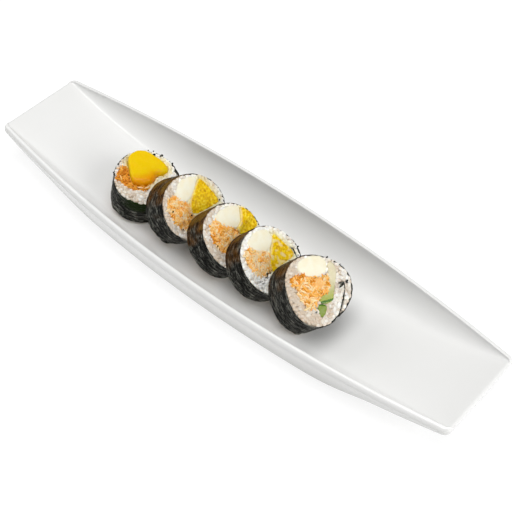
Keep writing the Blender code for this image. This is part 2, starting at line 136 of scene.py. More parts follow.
def makeNoiseGroup(name, sockets, output, cloudLook, spreadLook=None, wires=None, ridged=False):
    # noise over the piece, drawn out where the group has a stretch, and spread to a mask
    tree, source, result = newGroup(name, sockets, [output])
    place = addNode(tree, "ShaderNodeTexCoord").outputs["Object"]
    if "Stretch" in sockets:
        pull = addNode(tree, "ShaderNodeVectorMath", operation="MULTIPLY")
        tree.links.new(place, pull.inputs[0])
        tree.links.new(source.outputs["Stretch"], pull.inputs[1])
        place = pull.outputs["Vector"]
    cloud = addNode(tree, "ShaderNodeTexNoise", cloudLook)
    tree.links.new(place, cloud.inputs["Vector"])
    tree.links.new(source.outputs["Scale"], cloud.inputs["Scale"])
    value = cloud.outputs["Fac"]
    if ridged:
        offset = addNode(tree, "ShaderNodeMath", {1: 0.5}, operation="SUBTRACT")
        away = addNode(tree, "ShaderNodeMath", operation="ABSOLUTE")
        tree.links.new(value, offset.inputs[0])
        tree.links.new(offset.outputs[0], away.inputs[0])
        value = away.outputs[0]
    spread = addNode(tree, "ShaderNodeMapRange", spreadLook)
    tree.links.new(value, spread.inputs["Value"])
    for label, target in (wires or {}).items():
        tree.links.new(source.outputs[label], spread.inputs[target])
    tree.links.new(spread.outputs["Result"], result.inputs[output])
    return tree


# slow patches across a surface, for colour that isn't even
slowDrift = makeNoiseGroup(
    "slowDrift", {"Scale": 80.0, "Low": 0.35, "High": 0.65}, "Mask", {"Detail": 3.0, "Roughness": 0.55},
    wires={"Low": "From Min", "High": "From Max"})
# fine grain drawn out along one direction, as muscle, pulp or pressed seaweed has
drawnGrain = makeNoiseGroup(
    "drawnGrain", {"Stretch": (1.0, 1.0, 1.0), "Scale": 600.0}, "Grain",
    {"Detail": 4.0, "Roughness": 0.62, "Distortion": 0.25}, {"From Min": 0.3, "From Max": 0.7})
# a film of moisture: roughness that falls where it is wet
moistFilm = makeNoiseGroup(
    "moistFilm", {"Scale": 300.0, "Wet": 0.2, "Dry": 0.5}, "Roughness", {"Detail": 2.0, "Roughness": 0.5},
    {"From Min": 0.38, "From Max": 0.62}, {"Wet": "To Min", "Dry": "To Max"})
# thin raised lines, drawn out along one direction, where a dried sheet is wrinkled
creaseLines = makeNoiseGroup(
    "creaseLines", {"Stretch": (1.0, 1.0, 1.0), "Scale": 400.0, "Width": 0.05}, "Line",
    {"Detail": 2.0, "Roughness": 0.5, "Distortion": 0.6}, {"To Min": 1.0, "To Max": 0.0},
    {"Width": "From Max"}, ridged=True)


def placeGroup(tree, group, **inputs):
    item = tree.nodes.new("ShaderNodeGroup")
    item.node_tree = group
    for name, value in inputs.items():
        item.inputs[name].default_value = value
    return item


def startMaterial(name):
    material = bpy.data.materials.new(name)
    material.use_nodes = True
    tree = material.node_tree
    return material, tree, tree.nodes["Principled BSDF"]


def readAttribute(tree, name):
    return addNode(tree, "ShaderNodeAttribute", attribute_name=name).outputs["Fac"]


def rampOf(tree, value, stops):
    ramp = tree.nodes.new("ShaderNodeValToRGB")
    marks = ramp.color_ramp.elements
    while len(marks) < len(stops):
        marks.new(0.5)
    for mark, (place, colour) in zip(marks, stops):
        mark.position = place
        mark.color = (*colour, 1.0)
    tree.links.new(value, ramp.inputs["Fac"])
    return ramp.outputs["Color"]


def blendColours(tree, share, first, second, kind="MIX"):
    mix = addNode(tree, "ShaderNodeMix", data_type="RGBA", blend_type=kind)
    tree.links.new(share, mix.inputs[0])
    for socket, colour in ((mix.inputs[6], first), (mix.inputs[7], second)):
        if isinstance(colour, tuple):
            socket.default_value = (*colour, 1.0)
        else:
            tree.links.new(colour, socket)
    return mix.outputs[2]


def combine(tree, first, second, operation="MULTIPLY"):
    # the second value is another output or a plain number
    maths = addNode(tree, "ShaderNodeMath", operation=operation)
    tree.links.new(first, maths.inputs[0])
    if isinstance(second, float):
        maths.inputs[1].default_value = second
    else:
        tree.links.new(second, maths.inputs[1])
    return maths.outputs[0]


def finishSurface(tree, shader, colour, look):
    # what every material shares: colour, a film of moisture, shine, and for some a glow and a coat
    film = placeGroup(tree, moistFilm, Scale=look["film"], Wet=look["wet"], Dry=look["dry"])
    tree.links.new(colour, shader.inputs["Base Color"])
    tree.links.new(film.outputs["Roughness"], shader.inputs["Roughness"])
    shader.inputs["Specular IOR Level"].default_value = look["specular"]
    if "glow" in look:
        # light that goes into the food and comes out beside where it went in
        shader.inputs["Subsurface Weight"].default_value = look["glow"]
        shader.inputs["Subsurface Radius"].default_value = look["glowTint"]
        shader.inputs["Subsurface Scale"].default_value = look["glowDepth"] * mm
    if "coat" in look:
        shader.inputs["Coat Weight"].default_value = look["coat"]
        shader.inputs["Coat Roughness"].default_value = look["coatRough"]


def addBump(tree, shader, height, strength, distance, below=None):
    bump = addNode(tree, "ShaderNodeBump", {"Strength": strength, "Distance": distance * mm})
    tree.links.new(height, bump.inputs["Height"])
    if below:
        tree.links.new(below.outputs["Normal"], bump.inputs["Normal"])
    tree.links.new(bump.outputs["Normal"], shader.inputs["Normal"])
    return bump


# Materials

# "rim" is the colour of the painted shade down the plate's outside
porcelainLook = {
    "light": (0.82, 0.82, 0.81), "warm": (0.80, 0.80, 0.785), "rim": (0.60, 0.60, 0.58),
    "film": 30.0, "wet": 0.12, "dry": 0.26, "specular": 0.5, "coat": 0.25, "coatRough": 0.06,
}


def makePorcelain():
    # "shade" is painted shade down the outside of the rim and wall, greyer towards the foot
    material, tree, shader = startMaterial("glazedPorcelain")
    drift = placeGroup(tree, slowDrift, Scale=14.0, Low=0.3, High=0.7)
    colour = blendColours(tree, drift.outputs["Mask"], porcelainLook["light"], porcelainLook["warm"])
    ripple = placeGroup(tree, drawnGrain, Scale=90.0)
    outsideShaded = blendColours(tree, readAttribute(tree, "shade"), colour, porcelainLook["rim"])
    finishSurface(tree, shader, outsideShaded, porcelainLook)
    addBump(tree, shader, ripple.outputs["Grain"], 0.12, 0.04)
    return material


noriLook = {
    "deep": (0.004, 0.004, 0.003), "green": (0.012, 0.012, 0.009), "pressingAndSheen": (0.038, 0.039, 0.033),
    "glintLine": (0.26, 0.26, 0.225), "backlitBrown": (0.155, 0.06, 0.002), "backlitUmber": (0.012, 0.004, 0.001),
    "backlitOlive": (0.24, 0.15, 0.030), "wetGreen": (0.014, 0.030, 0.003),
    "film": 900.0, "wet": 0.35, "dry": 0.65, "specular": 0.06,
}


def makeNori():
    # "shade" is painted light coming through the thin sheet, and "relief" is where the rice has wetted it
    material, tree, shader = startMaterial("pressedSeaweed")
    streaks = placeGroup(tree, drawnGrain, Stretch=(0.2, 0.2, 1.0), Scale=900.0)
    crumple = placeGroup(tree, drawnGrain, Stretch=(0.4, 0.4, 1.0), Scale=480.0)
    creases = placeGroup(tree, creaseLines, Stretch=(0.3, 0.3, 1.0), Scale=420.0, Width=0.06)
    drift = placeGroup(tree, slowDrift, Scale=190.0, Low=0.4, High=0.56)
    fineShare = combine(tree, streaks.outputs["Grain"], 0.4)
    coarseShare = combine(tree, crumple.outputs["Grain"], 0.6)
    pressed = combine(tree, fineShare, coarseShare, "ADD")
    # the darker stops are the sheet's own pressing, the lighter ones painted sheen and glint
    base = rampOf(tree, pressed, [
        (0.38, noriLook["deep"]), (0.52, noriLook["green"]), (0.64, noriLook["pressingAndSheen"]),
        (0.78, noriLook["glintLine"])])
    # painted glints along the crease lines, laid into the colour
    lines = combine(tree, creases.outputs["Line"], drift.outputs["Mask"])
    ridged = blendColours(tree, combine(tree, lines, 0.8), base, noriLook["glintLine"])
    lit = rampOf(tree, crumple.outputs["Grain"], [(0.2, noriLook["backlitUmber"]), (0.8, noriLook["backlitBrown"])])
    paintedShare = readAttribute(tree, "shade")
    tip = combine(tree, combine(tree, paintedShare, 0.93, "SUBTRACT"), 6.0)
    glowing = blendColours(tree, tip, lit, noriLook["backlitOlive"])
    paintedBacklight = blendColours(tree, paintedShare, ridged, glowing)
    wetted = blendColours(tree, readAttribute(tree, "relief"), paintedBacklight, noriLook["wetGreen"])
    finishSurface(tree, shader, wetted, noriLook)
    coarse = addBump(tree, shader, crumple.outputs["Grain"], 0.8, 0.7)
    fine = addBump(tree, shader, streaks.outputs["Grain"], 0.7, 0.25, coarse)
    addBump(tree, shader, creases.outputs["Line"], 0.7, 0.25, fine)
    return material


riceLook = {
    "pearl": (0.61, 0.495, 0.38), "milky": (0.95, 0.93, 0.86), "crevicesShade": (0.47, 0.385, 0.30),
    "juicy": (0.80, 0.66, 0.20), "film": 900.0, "wet": 0.3, "dry": 0.55, "specular": 0.3,
    "glow": 0.3, "glowTint": (1.0, 0.8, 0.6), "glowDepth": 1.0,
}


def makeRice():
    # "shade" is how white a grain is, "relief" is painted shade where a grain or the packed rice lies deep,
    # "juice" what it took from the mango
    material, tree, shader = startMaterial("cookedRice")
    relief = readAttribute(tree, "relief")
    speckle = placeGroup(tree, drawnGrain, Scale=620.0)
    uneven = combine(tree, combine(tree, speckle.outputs["Grain"], 0.5, "SUBTRACT"), 0.5)
    tone = combine(tree, readAttribute(tree, "shade"), uneven, "ADD")
    body = blendColours(tree, tone, riceLook["pearl"], riceLook["milky"])
    packed = blendColours(tree, relief, riceLook["crevicesShade"], body)
    colour = blendColours(tree, readAttribute(tree, "juice"), packed, riceLook["juicy"])
    pores = placeGroup(tree, drawnGrain, Scale=1600.0)
    finishSurface(tree, shader, colour, riceLook)
    addBump(tree, shader, pores.outputs["Grain"], 0.25, 0.08)
    return material


creamLook = {
    "white": (0.82, 0.79, 0.64), "butter": (0.80, 0.72, 0.50),
    "film": 350.0, "wet": 0.3, "dry": 0.5, "specular": 0.3,
    "glow": 0.3, "glowTint": (1.0, 0.9, 0.6), "glowDepth": 2.0,
}


def makeCream():
    material, tree, shader = startMaterial("creamCheese")
    drift = placeGroup(tree, slowDrift, Scale=160.0, Low=0.4, High=0.75)
    colour = blendColours(tree, drift.outputs["Mask"], creamLook["white"], creamLook["butter"])
    smear = placeGroup(tree, drawnGrain, Stretch=(0.3, 1.0, 1.0), Scale=700.0)
    finishSurface(tree, shader, colour, creamLook)
    addBump(tree, shader, smear.outputs["Grain"], 0.3, 0.12)
    return material


salmonLook = {
    "deep": (0.56, 0.17, 0.004), "orange": (0.90, 0.37, 0.04), "peach": (0.97, 0.53, 0.155),
    "pale": (0.96, 0.72, 0.42), "smooth": (0.60, 0.375, 0.17),
    "film": 800.0, "wet": 0.25, "dry": 0.5, "specular": 0.15,
    "glow": 0.25, "glowTint": (1.0, 0.5, 0.25), "glowDepth": 1.0,
}


def makeSalmon():
    # "shade" runs from deep orange to pale, strand by strand, and "relief" paints shade where it lies
    # smooth
    material, tree, shader = startMaterial("flakedSalmon")
    tone = readAttribute(tree, "shade")
    fibres = placeGroup(tree, drawnGrain, Stretch=(1.0, 0.5, 0.7), Scale=1500.0)
    lit = combine(tree, tone, combine(tree, fibres.outputs["Grain"], 0.35), "ADD")
    colour = rampOf(tree, lit, [
        (0.12, salmonLook["deep"]), (0.42, salmonLook["orange"]), (0.7, salmonLook["peach"]),
        (1.0, salmonLook["pale"])])
    whole = blendColours(tree, readAttribute(tree, "relief"), colour, salmonLook["smooth"])
    finishSurface(tree, shader, whole, salmonLook)
    addBump(tree, shader, fibres.outputs["Grain"], 0.5, 0.2)
    return material


mangoLook = {
    "ochre": (0.50, 0.25, 0.001), "amber": (0.70, 0.41, 0.001), "yellow": (0.85, 0.58, 0.003),
    "paintedSparkle": (0.94, 0.80, 0.12), "pith": (0.82, 0.68, 0.34),
    "film": 900.0, "wet": 0.1, "dry": 0.34, "specular": 0.15,
    "glow": 0.3, "glowTint": (1.0, 0.6, 0.1), "glowDepth": 1.2,
}


def makeMango():
    # cut flesh: wet fibres with a painted sparkle on their lightest spots, and "shade" where it turns pale
    # along an edge
    material, tree, shader = startMaterial("mangoPulp")
    relief = readAttribute(tree, "relief")
    fibres = placeGroup(tree, drawnGrain, Stretch=(0.6, 1.0, 0.8), Scale=760.0)
    lit = combine(tree, combine(tree, relief, fibres.outputs["Grain"], "ADD"), 0.5)
    flesh = rampOf(tree, lit, [
        (0.1, mangoLook["ochre"]), (0.38, mangoLook["amber"]), (0.6, mangoLook["yellow"]),
        (0.95, mangoLook["paintedSparkle"])])
    colour = blendColours(tree, readAttribute(tree, "shade"), flesh, mangoLook["pith"])
    finishSurface(tree, shader, colour, mangoLook)
    addBump(tree, shader, fibres.outputs["Grain"], 0.7, 0.35)
    return material


chunkLook = {
    "top": (0.79, 0.53, 0.001), "side": (0.76, 0.40, 0.001), "low": (0.80, 0.32, 0.001),
    "film": 300.0, "wet": 0.2, "dry": 0.34, "specular": 0.1, "coat": 0.12, "coatRough": 0.2,
    "glow": 0.3, "glowTint": (1.0, 0.5, 0.05), "glowDepth": 2.0,
}


def makeMangoChunk():
    # uncut flesh of the end piece: smooth and glossy, deeper orange along its lower edge, partly its own
    # colour and partly painted shade on its front side
    material, tree, shader = startMaterial("mangoChunk")
    stops = [(0.0, chunkLook["top"]), (0.5, chunkLook["side"]), (1.0, chunkLook["low"])]
    colour = rampOf(tree, readAttribute(tree, "shade"), stops)
    fibres = placeGroup(tree, drawnGrain, Stretch=(0.5, 1.0, 1.0), Scale=380.0)
    finishSurface(tree, shader, colour, chunkLook)
    addBump(tree, shader, fibres.outputs["Grain"], 0.12, 0.12)
    return material


cucumberLook = {
    "flesh": (0.66, 0.60, 0.42), "green": (0.36, 0.40, 0.08), "skin": (0.06, 0.16, 0.010),
    "film": 500.0, "wet": 0.1, "dry": 0.3, "specular": 0.35,
    "glow": 0.35, "glowTint": (0.8, 1.0, 0.4), "glowDepth": 2.0,
}


def makeCucumber():
    # "shade" runs from pale flesh to green, and is 1 on the skin
    material, tree, shader = startMaterial("cucumberFlesh")
    shade = readAttribute(tree, "shade")
    seeds = placeGroup(tree, drawnGrain, Stretch=(1.0, 0.5, 0.3), Scale=700.0)
    colour = rampOf(tree, shade, [
        (0.0, cucumberLook["flesh"]), (0.62, cucumberLook["green"]), (0.86, cucumberLook["green"]),
        (1.0, cucumberLook["skin"])])
    finishSurface(tree, shader, colour, cucumberLook)
    addBump(tree, shader, seeds.outputs["Grain"], 0.3, 0.15)
    return material


finishes = {
    "porcelain": makePorcelain(), "nori": makeNori(), "rice": makeRice(), "cream_cheese": makeCream(),
    "salmon": makeSalmon(), "mango": makeMango(), "mangoChunk": makeMangoChunk(),
    "cucumber": makeCucumber(),
}
print("materials made:", len(finishes))


# Pieces

def addPiece(name, mesh, finish, nodeName, matrix=None):
    mesh.materials.append(finishes[finish])
    mesh.shade_smooth()
    piece = bpy.data.objects.new(name, mesh)
    bpy.context.scene.collection.objects.link(piece)
    if matrix:
        piece.matrix_world = matrix
    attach(piece, "root")
    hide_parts(nodeName)
    return piece


def meshFrom(name, points, faces, **attributes):
    mesh = bpy.data.meshes.new(name)
    mesh.from_pydata([tuple(p) for p in points], [], faces)
    for label, values in attributes.items():
        layer = mesh.attributes.new(label, "FLOAT", "POINT")
        layer.data.foreach_set("value", np.asarray(values, dtype=np.float32))
    mesh.validate()
    return mesh


def meshOf(name, bm):
    bmesh.ops.recalc_face_normals(bm, faces=bm.faces)
    mesh = bpy.data.meshes.new(name)
    bm.to_mesh(mesh)
    bm.free()
    return mesh


def smoothStep(value):
    value = np.clip(value, 0.0, 1.0)
    return value * value * (3 - 2 * value)


# Plate, in millimetres: the rim is widest in the middle and the floor sweeps up into both ends
plateShape = {
    "length": 357.0, "rimHalfMiddle": 47.5, "rimHalfEnd": 32.0, "rimPlanPower": 2.0,
    "rimTopMiddle": 27.0, "rimTopEnd": 29.5, "rimTopPower": 1.8, "rimThickness": 3.5,
    "rimInnerRound": 0.7, "rimOuterFall": 3.0,
    "floorMiddle": 5.0, "floorRise": 24.0, "floorPower": 2.3, "floorThickness": 4.5,
    "wallRun": 0.84, "wallPower": 1.6, "sideLean": 0.3, "sideRound": 6.0,
    "footHalf": 86.0, "footBlend": 46.0, "footWidth": 5.0,
    "footRecess": 1.5, "recessBack": 12.0, "recessBlend": 10.0,
    "cornerRadius": 4.0, "endLip": 2.0, "thinnestLip": 0.12,
    "outsideShadeFall": 20.0, "outsideShadeAtCrest": 0.1, "crestBlend": 0.8,
    "floorShares": (0.0, 0.25, 0.5, 0.75, 0.92), "stations": 150, "wallSteps": 16, "rimSteps": 6,
    "sideLineSteps": 5, "sideSteps": 8, "endSteps": 9,
}


def plateFloor(x):
    p = plateShape
    return p["floorMiddle"] + p["floorRise"] * abs(2 * x / p["length"]) ** p["floorPower"]


def plateHalfSection(x):
    # from the middle of the floor, up the wall, over the rim and back under to the middle of the foot
    p = plateShape
    reach = abs(2 * x / p["length"])
    pastCorner = max(0.0, abs(x) - (p["length"] / 2 - p["cornerRadius"]))
    cornerInset = p["cornerRadius"] - math.sqrt(max(0.0, p["cornerRadius"] ** 2 - pastCorner ** 2))
    narrowing = (p["rimHalfMiddle"] - p["rimHalfEnd"]) * reach ** p["rimPlanPower"]
    half = p["rimHalfMiddle"] - narrowing - cornerInset
    rimTop = p["rimTopMiddle"] + (p["rimTopEnd"] - p["rimTopMiddle"]) * reach ** p["rimTopPower"]
    floor = plateFloor(x)
    pastFoot = float(smoothStep((abs(x) - p["footHalf"]) / p["footBlend"]))
    under = (floor - p["floorThickness"]) * pastFoot
    pastRecess = float(smoothStep((abs(x) - p["footHalf"] + p["recessBack"]) / p["recessBlend"]))
    recess = p["footRecess"] * (1 - pastRecess)

    rise = rimTop - floor
    bead = min(p["rimInnerRound"], rise / 2)
    innerEdge = half - p["rimThickness"]
    crease = innerEdge - p["wallRun"] * rise
    points = [(crease * share, floor) for share in p["floorShares"]]
    for i in range(p["wallSteps"] + 1):
        step = math.sin(math.pi / 2 * i / p["wallSteps"])
        climb = 1 - (1 - step ** p["wallPower"]) ** (1 / p["wallPower"])
        points.append((crease + (innerEdge - crease) * step, floor + (rise - bead) * climb))
    # the rim is highest at its inner edge and rolls over towards the outside
    crest = innerEdge + p["rimInnerRound"]
    for i in range(1, p["rimSteps"] + 1):
        angle = math.pi / 2 * i / p["rimSteps"]
        inward = p["rimInnerRound"] * math.cos(angle)
        points.append((crest - inward, rimTop - bead * (1 - math.sin(angle))))
    for i in range(1, p["rimSteps"] + 1):
        angle = math.pi / 2 * i / p["rimSteps"]
        outward = (half - crest) * math.sin(angle)
        points.append((crest + outward, rimTop - p["rimOuterFall"] * (1 - math.cos(angle))))

    height = rimTop - p["rimOuterFall"] - under
    sideRound = min(p["sideRound"], height / 2)
    sideFoot = half - p["sideLean"] * (height - sideRound)
    topY, topZ = points[-1]
    steps = p["sideLineSteps"]
    for i in range(1, steps):
        points.append((topY + (sideFoot - topY) * i / steps, topZ + (under + sideRound - topZ) * i / steps))
    for i in range(p["sideSteps"] + 1):
        angle = math.pi / 2 * i / p["sideSteps"]
        inward = sideRound * (1 - math.cos(angle))
        points.append((sideFoot - inward, under + sideRound * (1 - math.sin(angle))))
    footInner = sideFoot - sideRound - p["footWidth"]
    points.append((footInner, under))
    points.append((footInner - p["footRecess"] / 3, under + recess * 0.2))
    points.append((footInner - p["footRecess"], under + recess))
    points.append((footInner - 2 * p["footRecess"], under + recess))
    points.append((0.0, under + recess))

    lip = (p["length"] / 2 - abs(x)) / p["endLip"]
    if lip < 1:
        thinning = max(p["thinnestLip"], math.sqrt(max(0.0, 1 - (1 - lip) ** 2)))
        middle = (floor + under) / 2
        points = [(y, middle + (z - middle) * thinning) for y, z in points]
    return points


def makePlate():
    p = plateShape
    straight = p["length"] / 2 - p["cornerRadius"]
    body = [straight * (2 * i / p["stations"] - 1) for i in range(p["stations"] + 1)]
    turns = [math.sin(math.pi / 2 * (i + 1) / p["endSteps"]) for i in range(p["endSteps"])]
    rightEnd = [straight + p["cornerRadius"] * turn for turn in turns]
    stations = [-x for x in reversed(rightEnd)] + body + rightEnd
    bm = bmesh.new()
    paintedOutsideShade = bm.verts.layers.float.new("shade")
    rings = []
    crest = len(p["floorShares"]) + p["wallSteps"] + p["rimSteps"]
    for x in stations:
        half = plateHalfSection(x)
        around = half + [(-y, z) for y, z in reversed(half[1:-1])]
        rings.append([bm.verts.new(Vector((x, y, z)) * mm) for y, z in around])
        # painted shade on the outside only, none at the highest point of the rim and growing as the outside
        # falls below it
        falls = [half[crest][1] - z if i > crest else 0.0 for i, (_, z) in enumerate(half)]
        for vertex, fall in zip(rings[-1], falls + falls[-2:0:-1]):
            paintedShare = p["outsideShadeAtCrest"] + (1 - p["outsideShadeAtCrest"]) * min(1.0, fall / p["outsideShadeFall"])
            vertex[paintedOutsideShade] = paintedShare * float(smoothStep(fall / p["crestBlend"]))
    for first, second in zip(rings, rings[1:]):
        for i in range(len(first)):
            j = (i + 1) % len(first)
            bm.faces.new((first[i], first[j], second[j], second[i]))
    bm.faces.new(rings[0])
    bm.faces.new(rings[-1])
    addPiece("glazedPlate", meshOf("glazedPlate", bm), "porcelain", "plate")


makePlate()
print("plate made")

# Where each roll lies, in millimetres and degrees: the middle of its cut face, its turn, its lean above
# the level, and how far its outline leaves a circle, as (amount, degrees). The seaweed's folded lip, its
# low stretch and its flared back edge are (degrees, half width, amount), and heaps of rice are
# (x, y, reach, height).
plainRoll = {
    "overlap": 45, "tuck": 2.2, "hook": 0.0, "uneven": 0.25, "cut": 0.35, "covered": -3, "paintedBacklight": 1.0,
    "lip": (0, 0, 0), "flare": (0, 0, 0), "heaps": [], "strays": [], "lift": 0.0,
}
rolls = {
    "roll1": {
        **plainRoll,
        "centre": (-70.1, -5.3, 32.0), "turn": 2.2, "lean": 75.5, "radius": 21.1, "thickness": 20.4,
        "oval": (0.13, -60), "lobes": (0.58, 58), "seam": -25, "overlap": 40, "tuck": 1.6,
        "seed": 11, "uneven": 0.9, "lift": 0.25, "white": 0.45, "cut": 1.0,
        "lip": (222, 42, 4.6), "low": (75, 60, 0.9),
        "heaps": [(-9, -12, 3.6, 2.2), (-13.5, -8.5, 3.4, 1.9), (-16.8, -3.5, 3.2, 1.5),
                  (-17.5, 2, 3.4, 1.2), (17, 3, 4.5, 1.2), (12, -11, 5, 1.2), (-3, -13, 3.6, 1.4)],
        "flare": (160, 12, 0.6), "whiterRightLitBelow": (0.014, 0.03), "covered": -14, "paintedBacklight": 0.0,
    },
    "roll2": {
        **plainRoll,
        "centre": (-27.5, -6.7, 36.2), "turn": -2.5, "lean": 42.2, "radius": 21.5, "thickness": 22.2,
        "oval": (0.59, -21), "lobes": (0.32, -14), "seam": -27,
        "seed": 22, "white": 0.25, "low": (20, 40, 0.5), "flare": (212, 11, 0.9), "whiterRightLitBelow": (0.012, 0.05),
    },
    "roll3": {
        **plainRoll,
        "centre": (4.7, -6.7, 33.3), "turn": 8.9, "lean": 47.8, "radius": 21.5, "thickness": 18.0,
        "oval": (0.07, 85), "lobes": (0.54, -1), "seam": -27,
        "seed": 33, "white": 0.3, "low": (20, 40, 0.5), "whiterRightLitBelow": (0.012, 0.045),
        "strays": [(-17.7, 11.2, 60), (-21.5, -4.7, 100)],
    },
    "roll4": {
        **plainRoll,
        "centre": (34.5, -6.3, 34.0), "turn": 3.6, "lean": 51.1, "radius": 21.3, "thickness": 18.1,
        "oval": (0.46, -82), "lobes": (0.14, -13), "seam": -10,
        "overlap": 56, "tuck": 3.6, "seed": 44, "white": 0.7, "low": (30, 50, 0.6), "whiterRightLitBelow": (0.0, 0.06),
    },
    "roll5": {
        **plainRoll,
        "centre": (72.3, -10.1, 41.5), "turn": -10.9, "lean": 55.1, "radius": 20.9, "thickness": 25.6,
        "oval": (0.0, 0), "lobes": (1.07, -12), "seam": -14, "overlap": 66, "tuck": 5.2, "hook": 3.0,
        # a low "white": painted shade on this face, which the right lamp lights most
        "seed": 55, "uneven": 0.3, "white": 0.06, "cut": 0.4, "low": (40, 55, 0.8),
        "flare": (231, 9, 0.9), "whiterRightLitBelow": (0.022, 0.02), "covered": -26, "paintedBacklight": 0.85,
    },
}


def rollMatrix(roll):
    place = Matrix.Translation(Vector(roll["centre"]) * mm)
    turn = Matrix.Rotation(math.radians(roll["turn"]), 4, "Z")
    lean = Matrix.Rotation(math.radians(90 - roll["lean"]), 4, "Y")
    upright = Matrix.Rotation(math.pi / 2, 4, "Z")
    return place @ turn @ lean @ upright


def rollRadius(roll, angle):
    oval, ovalTurn = roll["oval"]
    lobes, lobeTurn = roll["lobes"]
    ovalness = oval * np.cos(2 * (angle - math.radians(ovalTurn)))
    return roll["radius"] + ovalness + lobes * np.cos(3 * (angle - math.radians(lobeTurn)))


def onRoll(roll, degrees, inset):
    angle = np.radians(degrees)
    radius = rollRadius(roll, angle) - inset
    return np.stack([radius * np.cos(angle), radius * np.sin(angle)], axis=-1)


def humpOver(degrees, middle, halfWidth):
    # 1 at the middle angle, easing to 0 at the half width either side
    if not halfWidth:
        return np.zeros_like(np.asarray(degrees, dtype=float))
    away = np.abs((np.asarray(degrees, dtype=float) - middle + 180) % 360 - 180)
    return smoothStep(1.4 * (1 - away / halfWidth))


# Seaweed: one sheet wound round each roll, its inner end tucked in and its outer end lapped over it
noriSheet = {
    "thickness": 0.32, "inset": 0.16, "lapStep": 0.95, "lapEase": 25, "stepDegrees": 1.5, "rows": 30,
    "wrinkle": 0.25, "wrinkleSize": 3.2, "crease": 0.3, "creaseSize": 1.3,
    "ragged": 0.75, "raggedSize": 1.7, "frontRagged": 0.6, "frontIn": 0.15, "backRagged": 0.5,
    "backIn": 0.1, "wetFrom": 10, "wetRun": 4, "lipRows": 6, "lipArch": 0.5, "lipDroop": 0.7,
    "backlightFrom": 0.48, "backlightRun": 0.62, "patch": 0.55, "patchSize": 6.0,
    "deepest": 0.5, "highest": 0.1, "flareRun": 1.6, "flapRise": 0.75, "flapEase": 12,
}


def noriInset(roll, travelled):
    step = noriSheet["lapStep"]
    if travelled < roll["overlap"]:
        return step + (roll["tuck"] - step) * (1 - (travelled / roll["overlap"]) ** 2)
    return step * (1 - float(smoothStep((travelled - roll["overlap"]) / noriSheet["lapEase"])))


def noriPath(roll, until=None):
    # plan points and their angles, from the inner end clockwise
    end = until or 360 + roll["overlap"]
    steps = round(end / noriSheet["stepDegrees"])
    insets = [noriInset(roll, end * i / steps) for i in range(steps + 1)]
    degrees = [roll["seam"] - end * i / steps for i in range(steps + 1)]
    if roll["hook"]:
        for back in (0.35, 0.7, 1.0):
            insets.insert(0, roll["tuck"] + roll["hook"] * back)
            degrees.insert(0, roll["seam"] + 2 * back)
    middle = noriSheet["inset"] + noriSheet["thickness"] / 2
    return onRoll(roll, np.array(degrees), np.array(insets) + middle), np.array(degrees)


def makeNoriSheet(name, roll):
    s = noriSheet
    path, degrees = noriPath(roll)
    outward = path / np.linalg.norm(path, axis=1)[:, None]
    lipMiddle, lipHalf, lipReach = roll["lip"]
    lowMiddle, lowHalf, lowDrop = roll["low"]
    lipShare = humpOver(degrees, lipMiddle, lipHalf)
    wetShare = humpOver(degrees, lipMiddle, 1.4 * lipHalf)
    drop = lowDrop * humpOver(degrees, lowMiddle, lowHalf)
    fromEnd = roll["overlap"] - np.arange(len(path)) * s["stepDegrees"]
    flap = s["flapRise"] * smoothStep(fromEnd / s["flapEase"])
    flareMiddle, flareHalf, flareReach = roll["flare"]
    flare = flareReach * humpOver(degrees, flareMiddle, flareHalf)
    seed = roll["seed"]
    count = len(path)
    points, shade, relief = [], [], []
    rowCount = s["rows"] + s["lipRows"]
    for row in range(rowCount + 1):
        down = min(1.0, row / s["rows"])
        over = max(0, row - s["rows"]) / s["lipRows"]
        for i in range(count):
            x, y = path[i]
            edge = noise.noise(Vector((x, y, seed)) / s["raggedSize"]) * s["ragged"]
            front = s["frontRagged"] * edge - s["frontIn"] - drop[i] + flap[i]
            back = -roll["thickness"] - s["backRagged"] * edge + s["backIn"]
            z = back + (front - back) * down
            wrinkle = noise.noise(Vector((x, y, z + seed * 7)) / s["wrinkleSize"]) * s["wrinkle"]
            crease = noise.noise(Vector((x * 0.2, y * 0.2, z * 1.1 + seed)) / s["creaseSize"])
            lift = wrinkle + s["crease"] * crease
            flared = flare[i] * max(0.0, 1 - (z - back) / s["flareRun"])
            lift = min(s["highest"], max(-s["deepest"], lift)) + flared
            curl = over * lipShare[i]
            plan = path[i] + outward[i] * (lift - lipReach * curl)
            z += s["lipArch"] * lipShare[i] * math.sin(math.pi * min(1.0, over)) - s["lipDroop"] * curl
            points.append((plan[0] * mm, plan[1] * mm, z * mm))
            # painted light: brown where the sheet lies high on the roll, as if lit through from behind
            patch = noise.noise(Vector((x, y, z * 0.5 + seed)) / s["patchSize"])
            high = math.sin(math.radians(degrees[i])) + s["patch"] * patch
            shade.append(roll["paintedBacklight"] * float(smoothStep((high - s["backlightFrom"]) / s["backlightRun"])))
            relief.append(wetShare[i] * float(smoothStep((z + s["wetFrom"]) / s["wetRun"])))
    faces = []
    for row in range(rowCount):
        for i in range(count - 1):
            a = row * count + i
            faces.append((a, a + 1, a + 1 + count, a + count))
    mesh = meshFrom(name, points, faces, shade=shade, relief=relief)
    trimUnusedLip(mesh, lipShare, count, s["rows"])
    piece = addPiece(name + "_seaweed", mesh, "nori", name + "_nori", rollMatrix(roll))
    body = piece.modifiers.new("Sheet thickness", "SOLIDIFY")
    body.thickness = s["thickness"] * mm
    body.offset = 0
    return piece


